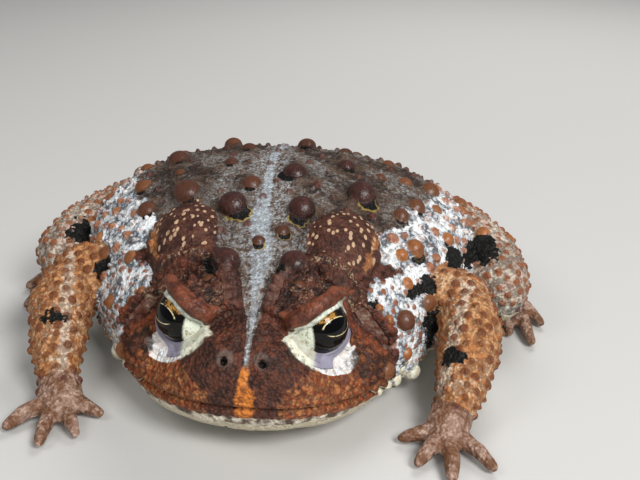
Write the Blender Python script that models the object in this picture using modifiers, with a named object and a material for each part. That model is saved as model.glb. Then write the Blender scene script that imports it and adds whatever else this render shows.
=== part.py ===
"""American toad, hunkered down on the ground, as a life-size still model.

The toad faces -Y, its own left is +X, and the floor is z = 0. Run it in Blender's text editor
or with blender --background --python part.py. Sizes are millimetres until MM turns them into
Blender's metres.
"""

import math
import random

import bmesh
import bpy
import numpy as np
from mathutils import Matrix, Vector
from mathutils.bvhtree import BVHTree

MM = 0.001
GAP = 0.3  # clearance between neighbouring nodes
CUT = 0.35  # width of the thin cuts that part the trunk

# Trunk, snout to rump: y, half width, top, widest level, bottom, upper and lower squareness.
TRUNK_SECTIONS = [
    (-44.0, 1.0, 13.4, 12.4, 11.4, 2.0, 2.0),
    (-43.6, 5.2, 15.2, 11.2, 7.6, 2.2, 2.0),
    (-42.4, 9.4, 16.8, 9.8, 5.2, 2.4, 2.2),
    (-40.2, 12.6, 18.0, 8.6, 3.8, 2.5, 2.4),
    (-37.0, 15.8, 19.6, 7.4, 2.6, 2.5, 2.8),
    (-33.0, 18.8, 21.4, 6.6, 1.9, 2.4, 3.0),
    (-29.0, 21.2, 22.8, 6.2, 1.4, 2.3, 3.0),
    (-25.0, 23.6, 24.2, 6.2, 0.9, 2.2, 3.0),
    (-21.0, 26.4, 25.4, 6.8, 0.4, 2.1, 3.0),
    (-16.0, 29.8, 26.8, 8.0, 0.0, 2.1, 2.9),
    (-9.0, 33.6, 28.4, 9.8, -0.5, 2.2, 2.7),
    (0.0, 37.0, 29.8, 11.2, -0.9, 2.2, 2.6),
    (10.0, 39.0, 30.6, 11.6, -1.1, 2.2, 2.6),
    (20.0, 37.4, 29.8, 11.6, -1.1, 2.2, 2.6),
    (29.0, 31.8, 26.8, 11.2, -0.9, 2.2, 2.5),
    (37.0, 23.4, 22.0, 10.2, -0.4, 2.1, 2.3),
    (42.6, 14.6, 17.0, 9.2, 1.4, 2.0, 2.1),
    (45.4, 7.0, 12.8, 8.8, 4.8, 2.0, 2.0),
    (46.2, 1.0, 9.8, 9.0, 8.2, 2.0, 2.0),
]
TRUNK_STEPS = 2  # rings from one section to the next
TRUNK_SIDES = 36

NECK_TOP = (-16.5, 40.0)  # y, z where the cut behind the head starts and ends
NECK_BOTTOM = (-14.0, -4.0)
MOUTH_LINE = [
    (-47.0, 10.4), (-42.0, 9.4), (-34.0, 7.2), (-28.0, 5.6), (-24.0, 5.4), (-21.8, 3.4), (-21.2, -4.0),
]
HEAD_PIVOT = -14.0  # y from which the head swings to the toad's left
HEAD_SWING = 2.5  # degrees

EYE_RADIUS = 4.3
EYE_CENTRE = (10.6, -32.0, 17.6)
EYE_GAZE = (0.80, -0.50, 0.22)
LID_RADII = (5.7, 6.2, 5.5)
LID_OFFSET = (-0.6, 0.6, 0.6)
OPENING_REACH = 4.6  # from the eye's centre to the middle of the lids' opening
OPENING_RADIUS = 3.3
RIM_REACH = 2.6  # from the eye's centre to the ring of the lids, along the gaze
RIM_RADII = (4.0, 0.9)

# Raised lines of the left side of the head: x, y, z, radius.
BROW = [
    (5.4, -37.6, 19.0, 0.8), (9.0, -37.0, 20.6, 1.3), (13.0, -34.2, 22.2, 1.5),
    (16.2, -30.0, 22.8, 1.4), (17.6, -26.6, 22.2, 0.9),
]
CREST = [
    (3.4, -38.0, 18.6, 0.8), (4.6, -33.0, 21.6, 1.3), (5.0, -28.0, 23.6, 1.5),
    (6.2, -24.4, 24.6, 1.5), (11.0, -23.0, 24.2, 1.4), (16.6, -23.4, 21.4, 1.1),
]
CANTHUS = [(2.6, -42.0, 16.0, 0.9), (4.6, -40.0, 17.6, 1.2), (7.2, -37.0, 18.6, 1.2)]
EAR_CENTRE = (20.2, -24.4, 15.6)
EAR_TILT = (1.0, -0.1, 0.7)
EAR_RADII = (2.3, 0.5)
NOSTRIL = (2.9, -41.8, 16.3)
NOSTRIL_TILT = (0.35, -0.5, 0.8)
NOSTRIL_RADII = (0.95, 0.4)
NOSTRIL_PIT = (0.62, 0.62, 1.4)

GLAND_CENTRE = (13.4, -13.2, 22.6)
GLAND_RADII = (6.6, 9.6, 5.4)
GLAND_TURN = 14.0  # degrees that the rear ends spread outwards
GLAND_ROLL = 22.0  # degrees that the outer side drops

# Limb segments of the left side, joint by joint: x, y, z, radius.
UPPER_ARM = [(24.0, -9.0, 12.0, 6.5), (30.0, -8.6, 12.6, 6.4), (35.0, -10.0, 13.2, 5.2)]
FOREARM = [
    (35.8, -11.0, 12.6, 4.8), (36.6, -17.0, 10.4, 5.5), (35.2, -25.0, 6.6, 4.4), (33.8, -30.0, 4.2, 3.3),
]
PALM = [(33.6, -30.5, 3.2, 3.2), (32.2, -33.6, 2.4, 3.4), (31.4, -36.0, 1.9, 2.5)]
FINGERS = [
    [(31.6, -33.6, 2.0, 1.5), (27.8, -35.4, 1.9, 1.3), (24.8, -36.2, 1.2, 0.9)],
    [(31.6, -35.2, 2.0, 1.5), (28.8, -39.6, 1.9, 1.3), (27.2, -42.2, 1.2, 0.9)],
    [(32.2, -35.6, 2.0, 1.6), (32.4, -41.2, 2.0, 1.3), (32.2, -45.2, 1.2, 0.9)],
    [(33.2, -34.8, 2.0, 1.5), (36.8, -38.8, 1.9, 1.3), (38.8, -41.8, 1.2, 0.9)],
]
THIGH = [(18.0, 33.0, 11.0, 8.0), (31.0, 25.0, 11.4, 8.6), (40.0, 13.0, 10.8, 7.6), (43.0, 5.0, 10.0, 6.4)]
SHANK = [(43.6, 3.8, 7.6, 5.0), (43.0, 13.0, 6.2, 5.8), (38.4, 25.0, 5.4, 5.0), (33.0, 34.0, 4.6, 3.8)]
TARSUS = [(32.8, 34.8, 3.8, 3.6), (38.6, 29.4, 3.2, 3.2), (43.4, 20.6, 2.6, 3.0), (44.6, 16.0, 2.2, 2.6)]
TOES = [
    [(43.4, 18.0, 2.0, 1.5), (42.0, 13.6, 1.8, 1.3), (41.2, 10.4, 1.2, 0.9)],
    [(44.0, 17.4, 2.0, 1.6), (43.8, 10.6, 1.9, 1.3), (43.6, 5.6, 1.2, 0.9)],
    [(44.6, 17.0, 2.0, 1.7), (46.0, 8.6, 2.0, 1.4), (46.2, 0.6, 1.2, 0.9)],
    [(45.2, 17.0, 2.0, 1.7), (48.8, 7.6, 2.0, 1.4), (50.2, -2.4, 1.2, 0.9)],
    [(45.6, 17.4, 2.0, 1.6), (50.4, 11.0, 1.9, 1.3), (53.0, 5.6, 1.2, 0.9)],
]
LIMBS = [
    ("upper_arm", UPPER_ARM, []), ("forearm", FOREARM, []), ("hand", PALM, FINGERS),
    ("thigh", THIGH, []), ("shank", SHANK, []), ("foot", TARSUS, TOES),
]
SIDES = [("left", 1), ("right", -1)]

# Main warts of the back: x, y, radius. The surface below gives their height.
BACK_WARTS = [
    (-5.8, -22.0, 2.5), (6.6, -22.0, 2.5), (-0.4, -18.6, 1.4), (3.6, -15.6, 1.7), (-6.2, -8.6, 2.6),
    (6.0, -9.0, 2.7), (-17.0, -0.5, 2.8), (-22.8, 17.0, 2.5), (-20.5, 7.0, 1.6), (-28.8, 9.0, 2.0),
    (-32.0, 19.0, 2.0), (-23.8, -3.0, 2.0), (-4.6, 1.5, 2.0), (2.6, 6.5, 2.4), (-13.0, 26.0, 2.0),
    (8.6, -1.0, 2.0), (11.0, 2.8, 1.7), (15.6, -0.5, 2.8), (17.7, 7.0, 2.0), (11.6, 15.5, 2.2),
    (25.0, 13.0, 2.0), (29.0, 14.0, 2.1), (26.6, 4.0, 1.8), (23.6, -1.6, 2.4), (28.0, -0.8, 1.4),
    (33.0, 0.6, 1.7), (30.6, 23.0, 2.0), (29.5, -5.4, 1.4), (26.4, -7.6, 1.8), (24.0, -11.4, 1.8),
    (-30.8, -5.6, 1.7), (-28.0, -10.0, 1.7), (-25.2, -13.0, 1.6), (-8.0, 13.0, 1.8), (3.4, 21.0, 2.0),
    (-16.0, 34.0, 1.9), (14.0, 33.0, 1.9), (-3.0, 34.0, 1.7), (21.0, 26.0, 1.8), (-24.0, 27.0, 1.8),
]
# Main warts of the flanks, cheeks and jaw corners: a point near the surface, and radius.
SIDE_WARTS = [
    (36.6, 9.0, 18.0, 1.9), (35.0, 17.0, 18.0, 1.7), (-36.0, 2.0, 17.0, 1.8), (-36.0, 12.0, 18.0, 1.7),
    (24.6, -15.8, 18.6, 1.8), (26.0, -20.4, 13.0, 2.0), (25.6, -23.0, 9.0, 1.5), (27.0, -21.0, 4.4, 1.9),
    (25.0, -25.0, 4.0, 1.6), (21.6, -28.6, 9.0, 2.0), (-24.4, -17.0, 17.6, 1.7), (-25.0, -20.6, 12.0, 1.8),
    (-24.0, -22.0, 5.0, 1.8), (-20.4, -27.6, 8.6, 1.9), (6.8, -28.6, 22.6, 1.1), (-6.2, -28.6, 22.6, 1.1),
]
WART_SINK = 0.2  # part of its radius that a wart's middle lies below the skin
WART_HEIGHT = 0.85  # height of a wart's dome over its radius

# Node name: number of small warts, scattered.
SMALL_WARTS = {
    "torso": 28, "head": 10, "upper_arm_left": 3, "upper_arm_right": 3, "forearm_left": 8,
    "forearm_right": 8, "thigh_left": 8, "thigh_right": 8, "shank_left": 4, "shank_right": 4,
}
SMALL_RADII = (0.8, 1.3)
SMALL_FLOOR = 5.0  # no small wart has its middle lower than this
HEAD_BARE = -26.0  # no small wart of the head lies further forward than this
WART_SEED = 7

# Material name: base colour and roughness.
FINISHES = {
    "back_skin": ((0.22, 0.16, 0.12), 0.60),
    "gland_skin": ((0.26, 0.12, 0.07), 0.50),
    "throat_skin": ((0.52, 0.44, 0.33), 0.60),
    "eye": ((0.02, 0.014, 0.008), 0.08),
}


def clear_scene():
    for obj in list(bpy.data.objects):
        bpy.data.objects.remove(obj, do_unlink=True)


def new_collection(name):
    collection = bpy.data.collections.new(name)
    bpy.context.scene.collection.children.link(collection)
    return collection


def make_material(name):
    colour, roughness = FINISHES[name]
    material = bpy.data.materials.new(name)
    material.use_nodes = True
    shader = material.node_tree.nodes["Principled BSDF"]
    shader.inputs["Base Color"].default_value = (*colour, 1)
    shader.inputs["Roughness"].default_value = roughness
    shader.inputs["Metallic"].default_value = 0
    return material


def smooth_rows(rows, steps):
    """The rows with steps - 1 more between each pair, on a Catmull-Rom spline."""
    table = np.array(rows, float)
    padded = np.vstack([2 * table[0] - table[1], table, 2 * table[-1] - table[-2]])
    made = []
    for before, here, after, last in zip(padded, padded[1:], padded[2:], padded[3:]):
        for step in range(steps):
            t = step / steps
            made.append(0.5 * (2 * here + (after - before) * t
                               + (2 * before - 5 * here + 4 * after - last) * t ** 2
                               + (3 * here - before - 3 * after + last) * t ** 3))
    made.append(table[-1])
    return np.array(made)


def mesh_object(name, mesh, collection):
    obj = bpy.data.objects.new(name, mesh)
    collection.objects.link(obj)
    return obj


def object_from(name, bm, collection):
    """A new object from a bmesh in millimetres, with its faces turned outwards."""
    bmesh.ops.recalc_face_normals(bm, faces=bm.faces)
    bmesh.ops.scale(bm, vec=(MM, MM, MM), verts=bm.verts)
    mesh = bpy.data.meshes.new(name)
    bm.to_mesh(mesh)
    bm.free()
    return mesh_object(name, mesh, collection)


def evaluated_mesh(obj):
    bpy.context.view_layer.update()
    graph = bpy.context.evaluated_depsgraph_get()
    return bpy.data.meshes.new_from_object(obj.evaluated_get(graph), depsgraph=graph)


def apply_modifiers(obj):
    mesh = evaluated_mesh(obj)
    obj.modifiers.clear()
    obj.data = mesh
    return obj


def section_ring(bm, row):
    """One ring of the trunk: two halves of a superellipse that meet at the widest level."""
    y, half_width, top, middle, bottom, upper, lower = row
    ring = []
    for side in range(TRUNK_SIDES):
        angle = 2 * math.pi * side / TRUNK_SIDES
        across, up = math.cos(angle), math.sin(angle)
        power = 2 / (upper if up >= 0 else lower)
        height = (top - middle) if up >= 0 else (middle - bottom)
        x = half_width * math.copysign(abs(across) ** power, across)
        z = middle + height * math.copysign(abs(up) ** power, up)
        ring.append(bm.verts.new((x, y, z)))
    return ring


def make_trunk(collection):
    """Head and torso as one loft, so that the neck shows no step."""
    bm = bmesh.new()
    rings = [section_ring(bm, row) for row in smooth_rows(TRUNK_SECTIONS, TRUNK_STEPS)]
    for front, back in zip(rings, rings[1:]):
        for i in range(TRUNK_SIDES):
            j = (i + 1) % TRUNK_SIDES
            bm.faces.new((front[i], front[j], back[j], back[i]))
    bm.faces.new(rings[0])
    bm.faces.new(rings[-1])
    return object_from("trunk", bm, collection)


def end_cap(end, inner, steps):
    """Shrinking rows past a path's end, which round the tube off."""
    along = (end[:3] - inner[:3]) / np.linalg.norm(end[:3] - inner[:3])
    rows = []
    for step in range(1, steps + 1):
        angle = math.radians(80) * step / steps
        rows.append(np.append(end[:3] + along * end[3] * math.sin(angle), end[3] * math.cos(angle)))
    return rows


def make_tube(name, rows, collection, sign=1, steps=3, sides=12):
    """A tapered tube with round ends through x, y, z, radius rows, as a closed mesh."""
    path = list(smooth_rows(rows, steps))
    cap_steps = 3 if sides > 8 else 2
    path = end_cap(path[0], path[1], cap_steps)[::-1] + path + end_cap(path[-1], path[-2], cap_steps)
    curve = bpy.data.curves.new(name, "CURVE")
    curve.dimensions = "3D"
    curve.bevel_depth = MM
    curve.bevel_resolution = (sides - 4) // 2
    curve.use_fill_caps = True
    spline = curve.splines.new("POLY")
    spline.points.add(len(path) - 1)
    for point, (x, y, z, radius) in zip(spline.points, path):
        point.co = (sign * x * MM, y * MM, z * MM, 1)
        point.radius = radius
    guide = mesh_object(name + "_guide", curve, collection)
    mesh = evaluated_mesh(guide)
    bpy.data.objects.remove(guide, do_unlink=True)
    bm = bmesh.new()
    bm.from_mesh(mesh)
    bmesh.ops.remove_doubles(bm, verts=bm.verts, dist=1e-6)
    bmesh.ops.recalc_face_normals(bm, faces=bm.faces)
    bm.to_mesh(mesh)
    bm.free()
    return mesh_object(name, mesh, collection)


def make_ellipsoid(name, centre, radii, collection, turn=None, segments=16, rings=10):
    bm = bmesh.new()
    bmesh.ops.create_uvsphere(bm, u_segments=segments, v_segments=rings, radius=1)
    place = Matrix.Translation(centre) @ (turn or Matrix()) @ Matrix.Diagonal((*radii, 1))
    bmesh.ops.transform(bm, matrix=place, verts=bm.verts)
    return object_from(name, bm, collection)


def make_ring(centre, axis, radii, sides=14, around=6):
    """A torus lying across its axis."""
    bpy.ops.mesh.primitive_torus_add(
        location=Vector(centre) * MM,
        rotation=Vector(axis).to_track_quat("Z", "Y").to_euler(),
        major_segments=sides,
        minor_segments=around,
        major_radius=radii[0] * MM,
        minor_radius=radii[1] * MM,
    )
    return bpy.context.object


def make_ribbon(name, line, collection, half_span=60):
    """A thin sheet that runs across X along a line of y, z points."""
    bm = bmesh.new()
    left = [bm.verts.new((-half_span, y, z)) for y, z in line]
    right = [bm.verts.new((half_span, y, z)) for y, z in line]
    for i in range(len(line) - 1):
        bm.faces.new((left[i], left[i + 1], right[i + 1], right[i]))
    obj = object_from(name, bm, collection)
    shell = obj.modifiers.new("Solidify", "SOLIDIFY")
    shell.thickness = CUT * MM
    shell.offset = 0
    return apply_modifiers(obj)


def make_floor_block(collection):
    """Everything below the floor, for cutting the flats that the toad rests on."""
    bm = bmesh.new()
    bmesh.ops.create_cube(bm, size=1)
    place = Matrix.Translation((0, 0, -20)) @ Matrix.Diagonal((200, 200, 40, 1))
    bmesh.ops.transform(bm, matrix=place, verts=bm.verts)
    return object_from("floor_block", bm, collection)


def grown_copy(obj, collection):
    """A copy whose surface stands off the original's by the gap."""
    copy = mesh_object(obj.name + "_grown", obj.data.copy(), collection)
    swell = copy.modifiers.new("Displace", "DISPLACE")
    swell.strength = GAP * MM
    swell.mid_level = 0
    return apply_modifiers(copy)


def combine(target, pieces, operation):
    """Joins the pieces to the target, or cuts them from it, in one Boolean, and removes them.

    The EXACT solver leaves cracks where the rims graze the lids, so this one is MANIFOLD.
    """
    group = new_collection("operands")
    for piece in pieces:
        for owner in list(piece.users_collection):
            owner.objects.unlink(piece)
        group.objects.link(piece)
    boolean = target.modifiers.new("Boolean", "BOOLEAN")
    boolean.operand_type = "COLLECTION"
    boolean.collection = group
    boolean.operation = operation
    boolean.solver = "MANIFOLD"
    apply_modifiers(target)
    for piece in pieces:
        bpy.data.objects.remove(piece, do_unlink=True)
    bpy.data.collections.remove(group)
    return target


def loose_parts(obj):
    """The face numbers of each connected surface of an object."""
    bm = bmesh.new()
    bm.from_mesh(obj.data)
    seen, parts = set(), []
    for face in bm.faces:
        if face.index in seen:
            continue
        seen.add(face.index)
        group, queue = [], [face]
        while queue:
            here = queue.pop()
            group.append(here.index)
            for other in {other for edge in here.edges for other in edge.link_faces}:
                if other.index not in seen:
                    seen.add(other.index)
                    queue.append(other)
        parts.append(group)
    bm.free()
    return sorted(parts, key=len, reverse=True)


def part_mesh(obj, faces):
    """A mesh of only these faces of an object."""
    keep = set(faces)
    bm = bmesh.new()
    bm.from_mesh(obj.data)
    doomed = [face for face in bm.faces if face.index not in keep]
    bmesh.ops.delete(bm, geom=doomed, context="FACES")
    mesh = bpy.data.meshes.new(obj.name)
    bm.to_mesh(mesh)
    bm.free()
    return mesh


def keep_largest(obj):
    obj.data = part_mesh(obj, loose_parts(obj)[0])
    return obj


def middle_of(mesh):
    return np.mean([vertex.co for vertex in mesh.vertices], axis=0)


def on_side(point, sign):
    return Vector((sign * point[0], point[1], point[2]))


def gland_turn(sign):
    spread = Matrix.Rotation(math.radians(-sign * GLAND_TURN), 4, "Z")
    drop = Matrix.Rotation(math.radians(sign * GLAND_ROLL), 4, "Y")
    return spread @ drop


def make_head_forms(collection):
    """Lids, brows, crests, nostril rims and ear rims that are joined to the trunk."""
    forms = []
    for side, sign in SIDES:
        centre, gaze = on_side(EYE_CENTRE, sign), on_side(EYE_GAZE, sign).normalized()
        forms.append(make_ellipsoid("lid_" + side, centre + on_side(LID_OFFSET, sign), LID_RADII, collection))
        forms.append(make_ring(centre + gaze * RIM_REACH, gaze, RIM_RADII))
        forms.append(make_ring(on_side(NOSTRIL, sign), on_side(NOSTRIL_TILT, sign), NOSTRIL_RADII, 10))
        forms.append(make_ring(on_side(EAR_CENTRE, sign), on_side(EAR_TILT, sign), EAR_RADII))
        for name, rows in (("brow", BROW), ("crest", CREST), ("canthus", CANTHUS)):
            forms.append(make_tube(name + "_" + side, rows, collection, sign, steps=2, sides=6))
    return forms


def make_eyes_and_glands(toad, workshop):
    """The eyeballs and parotoid glands, and the cutters that make room for them in the trunk."""
    cutters = []
    for side, sign in SIDES:
        centre, gaze = on_side(EYE_CENTRE, sign), on_side(EYE_GAZE, sign).normalized()
        turn = gaze.to_track_quat("Z", "Y").to_matrix().to_4x4()
        socket, opening = (EYE_RADIUS + GAP,) * 3, (OPENING_RADIUS,) * 3
        make_ellipsoid("eye_" + side, centre, (EYE_RADIUS,) * 3, toad, turn)
        cutters.append(make_ellipsoid("socket", centre, socket, workshop, turn))
        cutters.append(make_ellipsoid("opening", centre + gaze * OPENING_REACH, opening, workshop, turn))
        cutters.append(make_ellipsoid("pit", on_side(NOSTRIL, sign), NOSTRIL_PIT, workshop, None, 8, 6))
        place = on_side(GLAND_CENTRE, sign)
        gland = make_ellipsoid("parotoid_gland_" + side, place, GLAND_RADII, toad, gland_turn(sign))
        cutters.append(grown_copy(gland, workshop))
    return cutters


def part_trunk(trunk, toad, workshop):
    """Cuts the trunk into torso, head and lower jaw."""
    neck = make_ribbon("neck_cut", [NECK_TOP, NECK_BOTTOM], workshop)
    mouth = make_ribbon("mouth_cut", MOUTH_LINE, workshop)
    combine(trunk, [neck, mouth], "DIFFERENCE")
    meshes = [part_mesh(trunk, faces) for faces in loose_parts(trunk)[:3]]
    meshes.sort(key=lambda mesh: middle_of(mesh)[1])
    torso = meshes.pop()
    jaw, head = sorted(meshes, key=lambda mesh: middle_of(mesh)[2])
    for name, mesh in (("torso", torso), ("head", head), ("lower_jaw", jaw)):
        mesh_object(name, mesh, toad)


def make_limbs(core, toad, workshop):
    """Limb segments, each cut back from the trunk and from the segments before it."""
    for side, sign in SIDES:
        body = mesh_object("core", core.copy(), workshop)
        taken = [grown_copy(body, workshop)]
        bpy.data.objects.remove(body, do_unlink=True)
        for name, rows, digits in LIMBS:
            limb = make_tube(name + "_" + side, rows, toad, sign)
            if digits:
                tubes = [make_tube("digit", row, workshop, sign, steps=2, sides=6) for row in digits]
                combine(limb, tubes, "UNION")
            own = grown_copy(limb, workshop)
            cutters = [mesh_object("cutter", other.data.copy(), workshop) for other in taken]
            combine(limb, cutters + [make_floor_block(workshop)], "DIFFERENCE")
            keep_largest(limb)
            taken.append(own)
        for other in taken:
            bpy.data.objects.remove(other, do_unlink=True)


def swing_head(toad):
    """Swings all that lies in front of the neck slightly to the toad's left."""
    slope = math.tan(math.radians(HEAD_SWING))
    for obj in toad.objects:
        for vertex in obj.data.vertices:
            ahead = HEAD_PIVOT * MM - vertex.co.y
            if ahead > 0:
                vertex.co.x += slope * ahead


def surface_of(obj):
    """A search tree of an object's surface, in millimetres."""
    points = [vertex.co / MM for vertex in obj.data.vertices]
    return BVHTree.FromPolygons(points, [list(face.vertices) for face in obj.data.polygons])


def placed_warts(trees, node, spots):
    """Domes for the spots (point, normal, radius), small enough to clear every other node."""
    group = bpy.data.collections["workshop"]
    domes = []
    for point, normal, radius in spots:
        clear = min(tree.find_nearest(point)[3] for name, tree in trees.items() if name != node)
        size = min(radius, clear - GAP - 0.15)
        if size < 0.7 * radius or point.z < size + GAP:
            continue
        turn = normal.to_track_quat("Z", "Y").to_matrix().to_4x4()
        radii = (size, size, size * WART_HEIGHT)
        segments = 8 if size > SMALL_RADII[1] else 6
        middle = point - normal * size * WART_SINK
        domes.append(make_ellipsoid("wart", middle, radii, group, turn, segments, segments - 2))
    return domes


def main_spots(trees):
    """The main warts, as (node, point, normal, radius) on the surface nearest to each."""
    spots = []
    for x, y, radius in BACK_WARTS:
        hits = []
        for name, tree in trees.items():
            point, normal, _, distance = tree.ray_cast(Vector((x, y, 60)), Vector((0, 0, -1)))
            if point:
                hits.append((distance, name, point, normal))
        if hits:
            spots.append((*min(hits)[1:], radius))
    for *near, radius in SIDE_WARTS:
        finds = [(tree.find_nearest(Vector(near)), name) for name, tree in trees.items()]
        (point, normal, _, _), name = min(finds, key=lambda find: find[0][3])
        spots.append((name, point, normal, radius))
    return spots


def small_spots(obj, count, taken, chance):
    """Scattered spots on an object's upper skin that keep clear of the spots already taken."""
    faces = [face for face in obj.data.polygons if face.normal.z > -0.2]
    weights = [face.area for face in faces]
    spots = []
    for face in chance.choices(faces, weights, k=count * 12):
        corners = [obj.data.vertices[i].co / MM for i in face.vertices]
        shares = [chance.random() for _ in corners]
        point = sum((corner * share for corner, share in zip(corners, shares)), Vector()) / sum(shares)
        radius = chance.uniform(*SMALL_RADII)
        if point.z < SMALL_FLOOR or (obj.name == "head" and point.y < HEAD_BARE):
            continue
        if all((point - other).length > radius + reach + 0.6 for other, reach in taken):
            taken.append((point, radius))
            spots.append((point, face.normal.copy(), radius))
        if len(spots) == count:
            break
    return spots


def add_warts(toad):
    chance = random.Random(WART_SEED)
    trees = {obj.name: surface_of(obj) for obj in toad.objects}
    mains = main_spots(trees)
    taken = [(point, radius) for _, point, _, radius in mains]
    for obj in toad.objects:
        spots = [spot[1:] for spot in mains if spot[0] == obj.name]
        spots += small_spots(obj, SMALL_WARTS.get(obj.name, 0), taken, chance)
        if obj.name.startswith(("eye", "parotoid")):
            continue
        domes = placed_warts(trees, obj.name, spots)
        if domes:
            combine(obj, domes, "UNION")
            keep_largest(obj)
            trees[obj.name] = surface_of(obj)


def centre_on_floor(toad):
    """Moves the toad so that the middle of its outline lies over the origin."""
    points = np.array([vertex.co for obj in toad.objects for vertex in obj.data.vertices])
    low, high = points.min(axis=0), points.max(axis=0)
    shift = Vector((-(low[0] + high[0]) / 2, -(low[1] + high[1]) / 2, -low[2]))
    for obj in toad.objects:
        obj.data.transform(Matrix.Translation(shift))


def finish(toad):
    """Gives every node its material and smooth shading."""
    materials = {name: make_material(name) for name in FINISHES}
    for obj in toad.objects:
        kind = "back_skin"
        if obj.name.startswith("eye"):
            kind = "eye"
        elif obj.name.startswith("parotoid"):
            kind = "gland_skin"
        elif obj.name == "lower_jaw":
            kind = "throat_skin"
        obj.data.materials.clear()
        obj.data.materials.append(materials[kind])
        obj.data.shade_smooth()
        obj.data.set_sharp_from_angle(angle=math.radians(50))


def main():
    clear_scene()
    toad = new_collection("american_toad")
    workshop = new_collection("workshop")
    trunk = make_trunk(workshop)
    core = trunk.data.copy()
    combine(trunk, make_head_forms(workshop), "UNION")
    keep_largest(trunk)
    cutters = make_eyes_and_glands(toad, workshop)
    combine(trunk, cutters + [make_floor_block(workshop)], "DIFFERENCE")
    keep_largest(trunk)
    part_trunk(trunk, toad, workshop)
    bpy.data.objects.remove(trunk, do_unlink=True)
    make_limbs(core, toad, workshop)
    swing_head(toad)
    add_warts(toad)
    centre_on_floor(toad)
    finish(toad)
    for obj in toad.objects:
        print(obj.name, sum(len(face.vertices) - 2 for face in obj.data.polygons), "triangles")


main()
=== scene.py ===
# American toad, hunkered down and still, at life size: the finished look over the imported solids.
# It faces -Y, its own left is +X, and the floor is z = 0. Lengths below are millimetres.
import math

import bmesh
import bpy
import numpy as np
from mathutils import Matrix, Vector
from mathutils import noise as fieldNoise
from mathutils.bvhtree import BVHTree
from mathutils.kdtree import KDTree


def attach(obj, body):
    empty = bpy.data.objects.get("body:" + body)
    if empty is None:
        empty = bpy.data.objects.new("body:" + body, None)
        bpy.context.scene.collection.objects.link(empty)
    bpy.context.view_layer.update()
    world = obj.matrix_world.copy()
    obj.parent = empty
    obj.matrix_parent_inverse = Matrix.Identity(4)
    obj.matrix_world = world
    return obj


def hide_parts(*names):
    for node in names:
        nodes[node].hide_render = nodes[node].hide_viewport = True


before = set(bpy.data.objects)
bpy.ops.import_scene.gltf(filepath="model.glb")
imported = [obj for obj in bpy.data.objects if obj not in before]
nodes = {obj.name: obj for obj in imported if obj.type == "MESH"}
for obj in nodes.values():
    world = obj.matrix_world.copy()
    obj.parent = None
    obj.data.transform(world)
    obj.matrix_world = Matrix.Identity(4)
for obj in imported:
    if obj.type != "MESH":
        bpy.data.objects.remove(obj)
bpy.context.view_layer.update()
mm = 0.001
chance = np.random.default_rng(11)

sides = {"left": 1, "right": -1}
trunkNodes = ["torso", "head", "lower_jaw", "parotoid_gland_left", "parotoid_gland_right"]
limbParts = ["upper_arm", "forearm", "hand", "thigh", "shank", "foot"]
limbNodes = [part + "_" + side for part in limbParts for side in sides]

headTurn = {"from": -14.0, "slope": math.tan(math.radians(2.5))}  # ahead of this y the head swings left


# Small helpers

def pickOnly(*pieces):
    bpy.ops.object.select_all(action="DESELECT")
    for piece in pieces:
        piece.select_set(True)
    bpy.context.view_layer.objects.active = pieces[0]


def finishWith(piece, kind, **settings):  # adds a modifier and applies it at once
    pickOnly(piece)
    modifier = piece.modifiers.new(kind.lower(), kind)
    for name, value in settings.items():
        setattr(modifier, name, value)
    bpy.ops.object.modifier_apply(modifier=modifier.name)


def joinInto(piece, others):
    pickOnly(piece, *others)
    bpy.ops.object.join()
    return piece


def pointsOf(piece):
    flat = np.empty(len(piece.data.vertices) * 3, np.float32)
    piece.data.vertices.foreach_get("co", flat)
    return flat.reshape(-1, 3).astype(float) / mm


def movePoints(piece, points):
    piece.data.vertices.foreach_set("co", (points * mm).astype(np.float32).ravel())
    piece.data.update()


def normalsOf(piece):
    flat = np.empty(len(piece.data.vertices) * 3, np.float32)
    piece.data.vertex_normals.foreach_get("vector", flat)
    return flat.reshape(-1, 3).astype(float)


def smoothStep(values, low, high):
    share = np.clip((values - low) / (high - low), 0, 1)
    return share * share * (3 - 2 * share)


def hump(values, middle, width):  # 1 at the middle, falling to nothing over about two widths
    return np.exp(-((values - middle) / width) ** 2)


def asLeftHead(points, sign):  # undoes the head's swing and mirrors the right side over to the left
    local = points.copy()
    local[:, 0] -= headTurn["slope"] * np.maximum(0, headTurn["from"] - points[:, 1])
    local[:, 0] *= sign
    return local


def fromLeftHead(local, sign):
    points = local.copy()
    points[:, 0] *= sign
    points[:, 0] += headTurn["slope"] * np.maximum(0, headTurn["from"] - points[:, 1])
    return points


def onHead(point, sign):
    return fromLeftHead(np.array([point], float), sign)[0]


def smoothPath(rows, steps, closed=False):  # a Catmull-Rom spline through the rows
    table = np.array(rows, float)
    if closed:
        padded = np.vstack([table[-1], table, table[0], table[1]])
    else:
        padded = np.vstack([2 * table[0] - table[1], table, 2 * table[-1] - table[-2]])
    made = []
    for before, here, after, last in zip(padded, padded[1:], padded[2:], padded[3:]):
        for step in range(steps):
            t = step / steps
            curved = (2 * before - 5 * here + 4 * after - last) * t ** 2
            steep = (3 * here - before - 3 * after + last) * t ** 3
            made.append(0.5 * (2 * here + (after - before) * t + curved + steep))
    if not closed:
        made.append(table[-1])
    return np.array(made)


def alongLine(points, rows):  # distance to a line, and how far along it the nearest place is
    line = smoothPath(rows, 6)[:, :3]
    best = np.full(len(points), 1e9)
    place = np.zeros(len(points))
    walked = 0.0
    for start, end in zip(line, line[1:]):
        step = end - start
        length = np.linalg.norm(step)
        share = np.clip((points - start) @ step / length ** 2, 0, 1)
        gap = np.linalg.norm(points - start - share[:, None] * step, axis=1)
        nearer = gap < best
        best[nearer] = gap[nearer]
        place[nearer] = (walked + share * length)[nearer]
        walked += length
    return best, place


def gapTo(points, place):
    return np.linalg.norm(points - np.array(place), axis=1)


def nearestPoint(points, place):
    return points[np.argmin(gapTo(points, place))]


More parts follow.
